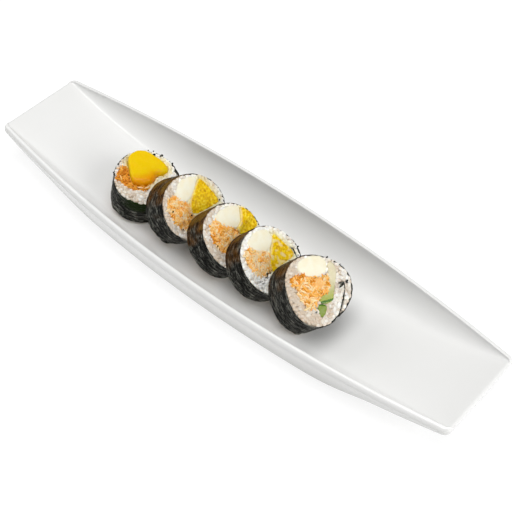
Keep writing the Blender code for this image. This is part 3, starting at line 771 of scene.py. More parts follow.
def trimUnusedLip(mesh, lipShare, count, rows):
    # the sheet folds over the face only where the lip is, so the rest of those rows go
    bm = bmesh.new()
    bm.from_mesh(mesh)
    bm.verts.ensure_lookup_table()
    spare = [v for v in bm.verts if v.index // count > rows and lipShare[v.index % count] < 0.02]
    bmesh.ops.delete(bm, geom=spare, context="VERTS")
    bm.to_mesh(mesh)
    bm.free()


for rollName, rollShape in rolls.items():
    makeNoriSheet(rollName, rollShape)
print("seaweed wound")


# Flat work on a cut face: outlines, distances and a fine triangle net between them

def softened(outline, rounds=3):
    points = np.array(outline, dtype=float)
    for _ in range(rounds):
        after = np.roll(points, -1, axis=0)
        near = points * 0.75 + after * 0.25
        far = points * 0.25 + after * 0.75
        points = np.stack([near, far], axis=1).reshape(-1, 2)
    return points


def evenly(outline, spacing):
    closed = np.vstack([outline, outline[:1]])
    lengths = np.linalg.norm(np.diff(closed, axis=0), axis=1)
    along = np.concatenate([[0.0], np.cumsum(lengths)])
    count = max(8, round(along[-1] / spacing))
    marks = np.linspace(0, along[-1], count, endpoint=False)
    return np.stack([np.interp(marks, along, closed[:, 0]), np.interp(marks, along, closed[:, 1])], axis=1)


def grownBy(outline, amount):
    after = np.roll(outline, -1, axis=0)
    before = np.roll(outline, 1, axis=0)
    along = after - before
    along /= np.linalg.norm(along, axis=1)[:, None]
    area = np.sum(outline[:, 0] * after[:, 1] - outline[:, 1] * after[:, 0])
    side = 1.0 if area > 0 else -1.0
    outward = np.stack([along[:, 1], -along[:, 0]], axis=1)
    return outline + side * np.reshape(amount, (-1, 1)) * outward


def insideOf(points, outline):
    x, y = points[:, :1], points[:, 1:]
    ax, ay = outline[:, 0], outline[:, 1]
    bx, by = np.roll(ax, -1), np.roll(ay, -1)
    crosses = (ay > y) != (by > y)
    run = np.where(by == ay, 1e-9, by - ay)
    hits = crosses & (x < (bx - ax) * (y - ay) / run + ax)
    return hits.sum(axis=1) % 2 == 1


def distanceTo(points, outline, closed=True):
    starts = outline if closed else outline[:-1]
    ends = np.roll(outline, -1, axis=0) if closed else outline[1:]
    along = ends - starts
    lengths = np.maximum((along ** 2).sum(axis=1), 1e-12)
    away = points[:, None, :] - starts[None, :, :]
    share = np.clip((away * along).sum(axis=2) / lengths, 0, 1)
    gap = away - share[:, :, None] * along
    return np.sqrt((gap ** 2).sum(axis=2)).min(axis=1)


def gapFrom(x, y, line, closed=True):
    return distanceTo(np.stack([x, y], axis=1), np.array(line, dtype=float), closed)


def heldWithin(plan, limit):
    # plan points drawn in towards the roll's axis where they pass the limit
    reach = np.maximum(np.hypot(plan[:, 0], plan[:, 1]), 0.01)
    return plan * np.minimum(1.0, limit / reach)[:, None]


def netOver(outline, holes, cell):
    # plan points, triangles, and each point's distance from the nearest edge
    loops = [evenly(edge, cell) for edge in (outline, *holes)]

    def within(places):
        clear = insideOf(places, loops[0])
        for hole in loops[1:]:
            clear &= ~insideOf(places, hole)
        return clear

    def edgeDistance(places):
        return np.min([distanceTo(places, loop) for loop in loops], axis=0)

    low, high = outline.min(axis=0), outline.max(axis=0)
    rowsY = np.arange(low[1], high[1], cell * 0.87)
    grid = []
    for i, y in enumerate(rowsY):
        shift = 0.5 * cell * (i % 2)
        grid += [(x + shift, y) for x in np.arange(low[0], high[0], cell)]
    grid = np.array(grid)
    keep = within(grid) & (edgeDistance(grid) > 0.6 * cell)
    points = np.vstack(loops + [grid[keep]])
    edges = []
    start = 0
    for loop in loops:
        count = len(loop)
        edges += [(start + i, start + (i + 1) % count) for i in range(count)]
        start += count
    plan, _, faces, *_ = delaunay_2d_cdt([Vector(p) for p in points], edges, [], 0, 1e-5)
    plan = np.array([tuple(p) for p in plan])
    faces = np.array([face for face in faces if len(face) == 3])
    faces = faces[within(plan[faces].mean(axis=1))]
    used = np.unique(faces)
    renumber = np.full(len(plan), -1)
    renumber[used] = np.arange(len(used))
    plan = plan[used]
    faces = renumber[faces]
    first, second, third = plan[faces[:, 0]], plan[faces[:, 1]], plan[faces[:, 2]]
    turn = (second[:, 0] - first[:, 0]) * (third[:, 1] - first[:, 1])
    turn -= (second[:, 1] - first[:, 1]) * (third[:, 0] - first[:, 0])
    faces[turn < 0] = faces[turn < 0][:, ::-1]
    return plan, faces, edgeDistance(plan)


def rimEdges(faces):
    seen = {}
    for face in faces:
        for a, b in ((face[0], face[1]), (face[1], face[2]), (face[2], face[0])):
            seen[(a, b)] = True
    return [edge for edge in seen if (edge[1], edge[0]) not in seen]


def slabMesh(name, outline, holes, cell, frontOf, backOf, wallSteps=(0.25, 0.75)):
    # two faces over the same net, joined round every edge; frontOf and backOf give (height, relief, shade)
    plan, faces, edgeGap = netOver(outline, holes, cell)
    frontHeight, frontRelief, frontShade = frontOf(plan[:, 0], plan[:, 1], edgeGap)
    backHeight, backRelief, backShade = backOf(plan[:, 0], plan[:, 1], edgeGap)
    count = len(plan)
    points = [(x * mm, y * mm, z * mm) for (x, y), z in zip(plan, frontHeight)]
    points += [(x * mm, y * mm, z * mm) for (x, y), z in zip(plan, backHeight)]
    relief = list(frontRelief) + list(backRelief)
    shade = list(frontShade) + list(backShade)
    polygons = [tuple(int(i) for i in face) for face in faces]
    polygons += [tuple(int(i) + count for i in reversed(face)) for face in faces]
    edges = rimEdges(faces)
    rim = sorted({a for a, _ in edges})
    levels = [{int(a): int(a) for a in rim}]
    for step in wallSteps:
        level = {}
        for a in rim:
            level[int(a)] = len(points)
            z = frontHeight[a] + (backHeight[a] - frontHeight[a]) * step
            points.append((plan[a][0] * mm, plan[a][1] * mm, z * mm))
            relief.append(frontRelief[a])
            shade.append(frontShade[a])
        levels.append(level)
    levels.append({int(a): int(a) + count for a in rim})
    for upper, lower in zip(levels, levels[1:]):
        for a, b in edges:
            polygons.append((upper[int(b)], upper[int(a)], lower[int(a)], lower[int(b)]))
    return meshFrom(name, points, polygons, relief=relief, shade=shade)


def noiseOver(x, y, size, seed):
    return np.array([noise.noise(Vector((a / size, b / size, seed))) for a, b in zip(x, y)])


def cellsOver(x, y, seed):
    # distance to the nearest and to the second nearest of scattered points
    found = [noise.voronoi(Vector((a, b, seed)))[0] for a, b in zip(x, y)]
    return np.array([f[0] for f in found]), np.array([f[1] for f in found])


def roundedEdge(edgeGap, radius):
    # how far the surface has dropped at this distance from its edge
    near = np.clip(1 - edgeGap / radius, 0, 1)
    return radius * (1 - np.sqrt(1 - near ** 2))


def belowNeighbour(roll, y, height):
    # where the next roll leans on the face, nothing stands out of it
    share = smoothStep((y - roll["covered"]) / 5)
    least = 0.15
    return np.where(height > least, least + (height - least) * share, height)


# Fillings: outlines on the cut face in millimetres, X level and Y up the face. Long shreds of salmon are
# (x, y, degrees, length, radius, bend, shade), and a calm patch is (x, y, reach).
fillings = {
    "roll1_salmon": {
        "kind": "salmon", "top": 0.9, "rough": 1.1, "seed": 3.1, "tone": (0.12, 0.45),
        "long": [(-8.9, -2.8, -45, 4, 0.5, 0.3, 0.85), (-5.6, -5.6, -15, 4, 0.5, 0.3, 0.8),
                 (-12.4, 10.5, 60, 4, 0.5, 0.4, 0.6)],
        "outline": [(-9, 16), (-5.4, 16), (-3.4, 13.6), (-8.4, 7), (-11, 2.8), (-8.9, -1), (-6.2, -4.2),
                    (-2.6, -6), (-7, -7), (-11.6, -2.6), (-13.9, 3), (-15.6, 8), (-13.8, 12.6)],
    },
    "roll1_mango": {
        "kind": "chunk", "top": 4.3, "rough": 0.12, "seed": 5.7,
        "orangeShadeLine": [(-10, -0.5), (-6, -4), (-1, -5.6), (2, -5.5)],
        "outline": [(-8.3, -0.8), (-6, -3.6), (-2.5, -5.3), (1.8, -5), (4.6, -3.6), (7.2, -5.3),
                    (11, -6.2), (14, -6), (15.6, -3.2), (15.8, 1.2), (14.2, 6.2), (13.6, 10),
                    (12.4, 13.4), (9.6, 16.4), (5.4, 17.8), (1, 17.4), (-1.9, 14.6), (-7.8, 7),
                    (-10.4, 2.8)],
    },
    "roll2_cream_cheese": {
        "kind": "cream", "top": 0.35, "rough": 0.1, "seed": 1.3,
        "outline": [(-4.7, 15), (-0.1, 17.8), (4.8, 17.7), (9, 16.6), (11.6, 14.4), (8.6, 11.3),
                    (5, 8.5), (1.4, 5.8), (-3, 5.6), (-6.1, 8.4), (-7.8, 11.8)],
    },
    "roll2_salmon": {
        "kind": "salmon", "top": 0.35, "rough": 0.8, "seed": 2.9, "tone": (0.58, 0.80),
        "outline": [(-12, 12.6), (-8.6, 13.1), (-6.1, 8.4), (-3, 5.6), (-1.9, 2.6), (-3.8, -1.7),
                    (-2.6, -5.5), (-6, -9.3), (-11.5, -9), (-14.6, -6.4), (-15.9, -2), (-16.5, 3),
                    (-16.3, 7.6), (-14.8, 10.9)],
    },
    "roll2_mango": {
        "kind": "mango", "top": 0.5, "rough": 0.3, "seed": 4.2, "mottle": 0.0,
        "pith": [(-3.8, -1.7), (-1.9, 2.6), (1.4, 5.8), (6.3, 9.2), (12.5, 13.2)],
        "outline": [(12.5, 13.2), (14.5, 10), (15.7, 4.2), (17, -1.5), (17, -5.4), (15.2, -6.4),
                    (9.9, -5.8), (4.7, -5), (-0.3, -4.4), (-3.8, -1.7), (-1.9, 2.6), (1.4, 5.8),
                    (6.3, 9.2)],
    },
    "roll3_cream_cheese": {
        "kind": "cream", "top": 0.35, "rough": 0.1, "seed": 6.6,
        "outline": [(-2.1, 16.5), (2.4, 16.8), (7.6, 15.7), (12.8, 13.7), (16, 11.3), (16.2, 8.9),
                    (13.2, 5.1), (9.5, 2.1), (5.4, 2.2), (2.1, 5.1), (-0.4, 9.6), (-1.8, 13.9)],
    },
    "roll3_salmon": {
        "kind": "salmon", "top": 0.35, "rough": 0.8, "seed": 7.4, "tone": (0.53, 0.85),
        "outline": [(-6, 15), (-3, 15.7), (-1.8, 13.9), (-0.4, 9.6), (2.1, 5.1), (4.6, 1.6),
                    (4.4, -1.4), (0, -5.5), (-5, -7.5), (-10, -5.5), (-13, -2), (-13.9, 1.5),
                    (-13.5, 5.5), (-12.4, 9.3), (-10.3, 13.1)],
    },
    "roll3_mango": {
        "kind": "mango", "top": 1.7, "rough": 0.35, "seed": 8.3, "mottle": 0.0,
        "pith": [(5, -0.6), (5.4, 2.2), (9.5, 2.1), (13.2, 5.1), (16.6, 9.4)],
        "outline": [(16.9, 9.8), (19.2, 6), (20.6, 1), (20.4, -3.8), (18.6, -6.6), (15.5, -6.2),
                    (11.2, -5.2), (7.4, -3.8), (5, -1.6), (5.4, 2.2), (9.5, 2.1), (13.2, 5.1)],
    },
    "roll4_cream_cheese": {
        "kind": "cream", "top": 0.35, "rough": 0.1, "seed": 9.8,
        "outline": [(-3.2, 18.4), (1, 19), (5.8, 18.4), (9.2, 16.6), (10.6, 13.8), (9.7, 10.3),
                    (6.7, 7.3), (2.5, 6), (-1.6, 7.7), (-4.4, 10.6), (-6.3, 14.3), (-5.8, 17)],
    },
    "roll4_salmon": {
        "kind": "salmon", "top": 0.35, "rough": 0.8, "seed": 10.5, "tone": (0.70, 0.70),
        "outline": [(-9.3, 15.1), (-6.8, 14.2), (-4.6, 10.4), (-1.6, 7.5), (2.2, 5.8), (1, 2.6),
                    (-2.8, -0.6), (-5.2, -4.4), (-8.8, -5), (-12.5, -1.6), (-14.4, 2.5), (-14.9, 6.7),
                    (-13.5, 10.9), (-11.5, 13.8)],
    },
    "roll4_mango": {
        "kind": "mango", "top": 0.5, "rough": 0.3, "seed": 12.1, "mottle": 0.75,
        "pith": [(-5.2, -4.9), (-2.8, -0.6), (1, 2.6), (4.9, 5.6), (9, 8.6)],
        "outline": [(12.6, 11.2), (13, 8.4), (13.9, 3.8), (14.8, -1), (15.6, -5.6), (13.5, -7.4),
                    (8.9, -6.6), (3.9, -5.8), (-1, -5.6), (-5.2, -4.9), (-2.8, -0.6), (1, 2.6),
                    (4.9, 5.6), (9, 8.6)],
    },
    "roll5_cream_cheese": {
        "kind": "cream", "top": 0.45, "rough": 0.12, "seed": 13.7,
        "outline": [(-3.2, 18.3), (0.2, 19.2), (4.5, 18.6), (9.2, 16.4), (12.2, 13.8), (12.6, 10.9),
                    (11.2, 7.9), (8.2, 6.4), (3.9, 6.4), (0.4, 7.8), (-2.3, 10.2), (-4.6, 13.2),
                    (-4.8, 16.2)],
    },
    "roll5_salmon": {
        "kind": "salmon", "top": 0.4, "rough": 1.0, "seed": 14.4, "tone": (0.50, 0.90),
        "calm": (2.0, 2.6, 6.4),
        "long": [(-10.3, 8.2, -30, 5.5, 0.75, 0.8, 0.42), (-6.6, 3.6, -62, 6.5, 0.85, 1.0, 0.36),
                 (-4.2, -1.6, -48, 6, 0.8, 0.8, 0.4), (-9, 3.4, -58, 5, 0.6, 0.5, 0.98),
                 (-6, -3.8, -40, 5, 0.6, 0.5, 0.9)],
        "outline": [(-13.6, 9.3), (-10.8, 13.6), (-7, 13.1), (-3, 10.3), (0.8, 7.2), (5.9, 5),
                    (10, 4.6), (8.1, -0.3), (4.6, -4.6), (-0.4, -4.6), (-4.4, -6.2), (-10.2, -7.5),
                    (-12.6, -6.8), (-12, -3.6), (-12.3, 0.5), (-12, 4.2), (-11.2, 7.4)],
    },
    "roll5_cucumber_wide": {
        "kind": "cucumber", "top": 0.3, "rough": 0.1, "seed": 15.9,
        "skin": ((5.2, -9.4), (-4.2, -6.8)), "rind": 0.8, "deepest": 0.0,
        "outline": [(13.4, 10.6), (16.4, 9.2), (16, 4), (12.2, -0.8), (7.4, -6), (5.2, -9.4),
                    (1.6, -10.2), (-4.2, -6.8), (-0.4, -4.6), (4.6, -4.6), (8.1, -0.3), (10.6, 4.7)],
    },
    "roll5_cucumber_slim": {
        "kind": "cucumber", "top": 0.25, "rough": 0.1, "seed": 16.2,
        "skin": ((-4.8, -7.2), (-0.6, -9.5)), "rind": 0.9, "deepest": 0.93,
        "outline": [(-4.8, -7.2), (-0.6, -9.5), (-1.5, -12), (-4.4, -14.4), (-6.9, -14.6),
                    (-6.9, -10.6)],
    },
}

flakes = {
    "length": 3.4, "width": 1.5, "turn": 35, "warp": 1.3, "edge": 0.9,
    "calmEdge": 2.4, "calmEdgeSize": 3.2, "calmFlake": 0.65, "calmShare": 0.6, "calmShadeShare": 0.45,
}
creamPat = {"dome": 0.35, "domeReach": 4.0, "edge": 1.3, "fall": 0.75}
mangoCut = {
    "grain": 1.25, "swell": 3.0, "edge": 0.3, "pith": 0.75, "pithWidth": 0.85, "patchSize": 3.0,
}
mangoLump = {
    "farEdge": 1.3, "nearEdge": 3.4, "edgeFrom": 7.0, "edgeRun": 9.0, "tilt": 0.04, "middle": 6.0,
    "ripple": 4.5, "orangeShadeReach": 6.5, "steepest": 1.05,
}
cucumberStick = {"edge": 0.3, "ripple": 1.2, "fade": 14.0, "fadePower": 1.6, "greenest": 0.84}
fillingSpread = {"salmon": 0.12, "cream": 0.75, "mango": 0.12, "chunk": 0.12, "cucumber": 0.12}


def calmAt(shape, x, y):
    # where the flesh lies smooth, with an uneven edge
    calmX, calmY, calmReach = shape.get("calm", (0, 0, 0.01))
    uneven = flakes["calmEdge"] * noiseOver(x, y, flakes["calmEdgeSize"], shape["seed"] + 6)
    away = np.hypot(x - calmX, y - calmY) + uneven
    return smoothStep(1.3 * (1 - away / calmReach))


def salmonSurface(shape, x, y, edgeGap):
    turn = math.radians(flakes["turn"])
    sway = noiseOver(x, y, 4.0, shape["seed"]) * flakes["warp"]
    along = ((x + sway) * math.cos(turn) + y * math.sin(turn)) / flakes["length"]
    across = (-(x + sway) * math.sin(turn) + y * math.cos(turn)) / flakes["width"]
    nearest, second = cellsOver(along, across, shape["seed"])
    flake = np.clip(1 - 0.9 * nearest, 0, 1) * np.clip((second - nearest) * 3.5, 0, 1) ** 0.5
    slow = noiseOver(x, y, 5.0, shape["seed"] + 4)
    calm = calmAt(shape, x, y)
    flake = flake + (flakes["calmFlake"] - flake) * flakes["calmShare"] * calm
    raised = shape["rough"] * (flake - 0.8 + 0.35 * slow)
    height = shape["top"] + raised - roundedEdge(edgeGap, flakes["edge"])
    tone, spread = shape["tone"]
    shade = np.clip(tone - 0.15 + spread * (flake - 0.4), 0, 1)
    # relief paints shade over the calm patch, which has no shreds to shade it
    return height, flakes["calmShadeShare"] * calm, shade


def creamSurface(shape, x, y, edgeGap):
    # the pat thins out under the grains round it
    dome = creamPat["dome"] * smoothStep(edgeGap / creamPat["domeReach"])
    ripple = noiseOver(x, y, 3.0, shape["seed"]) + 0.4 * noiseOver(x, y * 0.3, 0.8, shape["seed"] + 2)
    fall = creamPat["fall"] * np.clip(1 - edgeGap / creamPat["edge"], 0, 1) ** 2
    height = shape["top"] + dome + shape["rough"] * ripple - fall
    return height, np.ones_like(x), np.zeros_like(x)


def mangoSurface(shape, x, y, edgeGap):
    grain = noiseOver(x, y, mangoCut["grain"], shape["seed"])
    swell = noiseOver(x, y, mangoCut["swell"], shape["seed"] + 3)
    raised = shape["rough"] * (0.6 * grain + 0.7 * swell)
    height = shape["top"] + raised - roundedEdge(edgeGap, mangoCut["edge"])
    relief = np.clip(0.5 + 0.8 * grain + 0.35 * swell, 0, 1)
    gap = gapFrom(x, y, shape["pith"], closed=False)
    pale = mangoCut["pith"] * np.clip(1.25 - (gap + 0.5 * grain) / mangoCut["pithWidth"], 0, 1)
    patches = noiseOver(x * 1.2, y, mangoCut["patchSize"], shape["seed"] + 7)
    pale = np.maximum(pale, shape["mottle"] * smoothStep((patches - 0.1) / 0.25))
    return height, relief, pale


def chunkSurface(shape, x, y, edgeGap):
    m = mangoLump
    ripple = noiseOver(x, y, m["ripple"], shape["seed"])
    edge = m["farEdge"] + (m["nearEdge"] - m["farEdge"]) * smoothStep((m["edgeFrom"] - y) / m["edgeRun"])
    height = shape["top"] + m["tilt"] * (y - m["middle"]) + shape["rough"] * ripple
    height = height - np.minimum(m["steepest"], shape["top"] / edge) * roundedEdge(edgeGap, edge)
    # deeper orange towards this line: partly the flesh's own colour, partly painted shade on the chunk's
    # front side
    gap = gapFrom(x, y, shape["orangeShadeLine"], closed=False)
    shade = np.clip(1.25 - gap / m["orangeShadeReach"] + 0.15 * ripple, 0, 1)
    return height, np.ones_like(x), shade


def cucumberSurface(shape, x, y, edgeGap):
    c = cucumberStick
    gap = gapFrom(x, y, shape["skin"], closed=False)
    ripple = noiseOver(x, y, c["ripple"], shape["seed"])
    height = shape["top"] + shape["rough"] * ripple - roundedEdge(edgeGap, c["edge"])
    green = np.clip(1 - gap / c["fade"], 0, 1) ** c["fadePower"] * c["greenest"]
    shade = np.where(gap < shape["rind"], 1.0, np.maximum(shape["deepest"], green))
    return height, np.ones_like(x), shade


surfaces = {
    "salmon": (salmonSurface, "salmon", "salmon"),
    "cream": (creamSurface, "cream_cheese", "cream_cheese"),
    "mango": (mangoSurface, "mango", "mango"), "chunk": (chunkSurface, "mangoChunk", "mango"),
    "cucumber": (cucumberSurface, "cucumber", "cucumber"),
}
fillingCell = 0.42
fillingWallSteps = (0.04, 0.1, 0.18, 0.3, 0.75)


def outlinesOn(rollName, kinds=surfaces):
    # the outlines of one roll's fillings, or of some kinds of them
    return [softened(shape["outline"]) for key, shape in fillings.items()
            if key.startswith(rollName) and shape["kind"] in kinds]


def makeFilling(name, shape):
    roll = rolls[name.split("_")[0]]
    surface, finish, slotName = surfaces[shape["kind"]]
    outline = softened(shape["outline"])
    wobble = noiseOver(outline[:, 0], outline[:, 1], 2.0, shape["seed"] + 9)
    outline = grownBy(outline, fillingSpread[shape["kind"]] + 0.3 * wobble)

    def frontOf(x, y, edgeGap):
        height, relief, shade = surface(shape, x, y, edgeGap)
        return belowNeighbour(roll, y, height), relief, shade

    def backOf(x, y, edgeGap):
        # the same flesh seen from behind: flatter, and another stretch of its grain
        flat = {**shape, "top": 0.1, "seed": shape["seed"] + 20}
        height, relief, shade = surface(flat, x, y, edgeGap)
        return -roll["thickness"] + 0.35 - 0.4 * np.clip(height, -1, 0.3), relief, shade

    mesh = slabMesh(name, outline, [], fillingCell, frontOf, backOf, fillingWallSteps)
    addPiece(name + "_piece", mesh, finish, name, rollMatrix(roll))


for fillingName, fillingShape in fillings.items():
    makeFilling(fillingName, fillingShape)
print("fillings made:", len(fillings))


# Salmon shreds lying on the flaked flesh in every direction, one joined mesh on each face
shreds = {
    "perSquareMm": 0.85, "length": (1.6, 4.4), "radius": (0.28, 0.62), "sides": 6, "steps": 5,
    "bend": 0.7, "tilt": 0.12, "tip": 0.25, "flat": 0.7, "spill": 0.55, "sink": 0.25, "rise": 0.4,
    "swirl": 6.0, "swirlTurn": 2.4, "strayTurn": 0.35, "patch": 3.5, "patchShade": 0.9, "strayShade": 0.3,
    "calmed": 0.95, "rimGap": 1.0,
}


def strandPoints(rng, x, y, z, turn, half, radius, bend):
    # rings round a bent line, thin at both ends
    tilt = rng.uniform(-shreds["tilt"], shreds["tilt"])
    steps, sides = shreds["steps"], shreds["sides"]
    along = np.linspace(-1, 1, steps + 1)
    size = radius * (shreds["tip"] + (1 - shreds["tip"]) * np.sqrt(np.clip(1 - along ** 2, 0, 1)))
    around = np.arange(sides) * 2 * math.pi / sides + rng.uniform(0, 1)
    points = np.zeros((steps + 1, sides, 3))
    points[:, :, 0] = (along * half)[:, None]
    points[:, :, 1] = (bend * (along ** 2 - 0.4))[:, None] + size[:, None] * np.cos(around)
    points[:, :, 2] = (along * half * tilt)[:, None] + size[:, None] * np.sin(around) * shreds["flat"]
    turned = points.reshape(-1, 3) @ np.array(Matrix.Rotation(turn, 3, "Z")).T
    return turned + (x, y, z)


def strandFaces(start):
    steps, sides = shreds["steps"], shreds["sides"]
    faces = []
    for i in range(steps):
        for j in range(sides):
            k = (j + 1) % sides
            a, b = start + i * sides, start + (i + 1) * sides
            faces.append((a + j, a + k, b + k, b + j))
    faces.append(tuple(start + j for j in reversed(range(sides))))
    faces.append(tuple(start + steps * sides + j for j in range(sides)))
    return faces


def makeShreds(name, shape):
    owner = name.split("_")[0]
    roll = rolls[owner]
    rng = random.Random(shape["seed"])
    outline = grownBy(softened(shape["outline"]), shreds["spill"])
    low, high = outline.min(axis=0), outline.max(axis=0)
    blocks = outlinesOn(owner, ("mango", "chunk", "cucumber"))
    count = round(shreds["perSquareMm"] * (high[0] - low[0]) * (high[1] - low[1]))
    tone, spread = shape["tone"]
    strands = []
    for _ in range(count):
        x, y = rng.uniform(low[0], high[0]), rng.uniform(low[1], high[1])
        spot = np.array([[x, y]])
        if not insideOf(spot, outline)[0] or any(insideOf(spot, block)[0] for block in blocks):
            continue
        if "calm" in shape and rng.random() < shreds["calmed"] * calmAt(shape, *spot.T)[0]:
            continue
        swirl = noise.noise(Vector((x, y, shape["seed"])) / shreds["swirl"])
        patch = noise.noise(Vector((x, y, shape["seed"] + 11)) / shreds["patch"])
        strayTurn = rng.uniform(-shreds["strayTurn"], shreds["strayTurn"])
        turn = math.pi * (shreds["swirlTurn"] * swirl + strayTurn)
        z = shape["top"] - shreds["sink"] + shreds["rise"] * rng.uniform(-0.5, 1.0)
        half = rng.uniform(*shreds["length"]) / 2
        bend = rng.uniform(-1, 1) * shreds["bend"]
        strayShade = rng.uniform(-shreds["strayShade"], shreds["strayShade"])
        shade = tone + spread * (shreds["patchShade"] * patch + strayShade)
        strands.append((x, y, z, turn, half, rng.uniform(*shreds["radius"]), bend, shade))
    for x, y, turn, length, radius, bend, shade in shape.get("long", []):
        z = shape["top"] + shreds["sink"]
        strands.append((x, y, z, math.radians(turn), length / 2, radius, bend, shade))
    points, faces, shades = [], [], []
    for *place, shade in strands:
        strand = strandPoints(rng, *place)
        strand[:, 2] = belowNeighbour(roll, strand[:, 1], strand[:, 2])
        limit = rollRadius(roll, np.arctan2(strand[:, 1], strand[:, 0])) - shreds["rimGap"]
        strand[:, :2] = heldWithin(strand[:, :2], limit)
        faces += strandFaces(sum(len(p) for p in points))
        points.append(strand)
        shades.append(np.full(len(strand), min(1.0, max(0.0, shade))))
    mesh = meshFrom(name + "_shreds", np.vstack(points) * mm, faces, shade=np.concatenate(shades))
    addPiece(name + "_shreds", mesh, "salmon", name, rollMatrix(roll))
    return len(points)


for fillingName, fillingShape in fillings.items():
    if fillingShape["kind"] == "salmon":
        print(makeShreds(fillingName, fillingShape), "shreds on", fillingName)

# Rice: a packed core round the fillings, with whole grains lying in both cut faces
riceBed = {
    "inset": 0.5, "sink": 0.6, "cell": 0.6, "bump": 0.3, "bumpSize": 1.9, "overlap": 0.3,
    "grainHalf": (2.0, 1.15, 1.05), "grainSpacing": 1.7, "grainCount": 260, "flatTop": 0.15,
    "segments": 10, "rings": 7, "bend": 0.12, "coreInset": 0.85, "smear": 0.7, "smearReach": 3.0,
    "juice": 0.75, "juiceReach": 4.5, "juicePower": 1.3,
    "tries": 5200, "turns": 7, "shorter": 0.88, "fillingGap": 0.45, "flapGap": 0.7,
    "strayGrain": (0.9, 0.0, 0.9, 0.0), "overLow": 0.45, "overLip": 0.8,
    "slimmest": 0.92, "plumper": 0.16, "lift": 0.1, "jitter": 0.16, "backTop": 0.25,
    "lowShade": 0.25, "shadeLiftToTop": 1.1, "toneSpread": 0.8, "coreShadeMiddle": 0.55, "coreShadeSpread": 0.5,
    "flapReach": 1.6, "flapShrink": 0.6,
}


def grainTemplate():
    bm = bmesh.new()
    bmesh.ops.create_uvsphere(bm, u_segments=riceBed["segments"], v_segments=riceBed["rings"], radius=1.0)
    bmesh.ops.transform(bm, verts=bm.verts, matrix=Matrix.Rotation(math.pi / 2, 4, "Y"))
    bm.verts.ensure_lookup_table()
    points = np.array([tuple(v.co) for v in bm.verts])
    faces = [tuple(v.index for v in face.verts) for face in bm.faces]
    bm.free()
    points[:, 2] += riceBed["bend"] * (0.3 - points[:, 0] ** 2)
    return points, faces


grainPoints, grainFaces = grainTemplate()


def riceHeight(roll, x, y):
    slow = noiseOver(x, y, 4.5, roll["seed"] * 1.7)
    fine = noiseOver(x, y, riceBed["bumpSize"], roll["seed"] * 2.3)
    height = -riceBed["sink"] + roll["uneven"] * slow + riceBed["bump"] * fine
    for heapX, heapY, spread, rise in roll["heaps"]:
        away = np.hypot(x - heapX, y - heapY)
        height = height + rise * smoothStep(1 - away / spread)
    return height, fine


def riceToneAndLight(roll, x, y):
    # whiter to the right of a face and where cream cheese has smeared it, and painted light towards the
    # bottom of a face, where the next roll shades it
    acrossX, downY = roll["whiterRightLitBelow"]
    tone = roll["white"] + acrossX * x - downY * np.minimum(y, 0)
    for cream in roll["cream"]:
        tone = tone + riceBed["smear"] * np.clip(1 - gapFrom(x, y, cream) / riceBed["smearReach"], 0, 1)
    return tone


def juiceAt(rollName, x, y):
    # rice takes up yellow juice where it touches the mango
    juice = np.zeros(len(x))
    for fruit in outlinesOn(rollName, ("mango", "chunk")):
        near = np.clip(1 - gapFrom(x, y, fruit) / riceBed["juiceReach"], 0, 1)
        juice = riceBed["juice"] * near ** riceBed["juicePower"]
    return juice


def grainSpots(roll, outlines, flap, rng):
    # middles thrown at random, kept where a grain fits between the rim, the fillings and the tucked flap
    spots = []
    b = riceBed
    longHalf, wideHalf, _ = b["grainHalf"]
    for _ in range(b["tries"]):
        centre = np.array([rng.uniform(-1, 1), rng.uniform(-1, 1)]) * roll["radius"]
        if spots and min(abs(centre[0] - s[0]) + abs(centre[1] - s[1]) for s in spots) < b["grainSpacing"]:
            continue
        angle = math.atan2(centre[1], centre[0])
        edge = float(rollRadius(roll, angle)) - b["inset"] - wideHalf * 0.6
        if np.hypot(*centre) > edge:
            continue
        here = centre[None]
        if any(insideOf(here, o)[0] or distanceTo(here, o)[0] < b["fillingGap"] for o in outlines):
            continue
        if distanceTo(here, flap, closed=False)[0] < wideHalf * 0.8:
            continue
        length = 1.0
        for _ in range(b["turns"]):
            turn = rng.uniform(0, math.pi)
            reach = np.array([math.cos(turn), math.sin(turn)]) * longHalf * 0.8 * length
            tips = np.stack([centre + reach, centre - reach])
            limits = rollRadius(roll, np.arctan2(tips[:, 1], tips[:, 0])) - b["inset"] - 0.4
            clear = np.all(np.hypot(tips[:, 0], tips[:, 1]) < limits)
            clear = clear and not any(insideOf(tips * 0.97, o).any() for o in outlines)
            clear = clear and distanceTo(tips, flap, closed=False).min() > b["flapGap"]
            if clear:
                break
            length *= b["shorter"]
        tilt, tone, jitter = rng.uniform(-0.5, 0.5), rng.random(), rng.uniform(-1, 1)
        spots.append((centre[0], centre[1], turn, length, tilt, tone, jitter))
        if len(spots) >= b["grainCount"]:
            break
    return spots


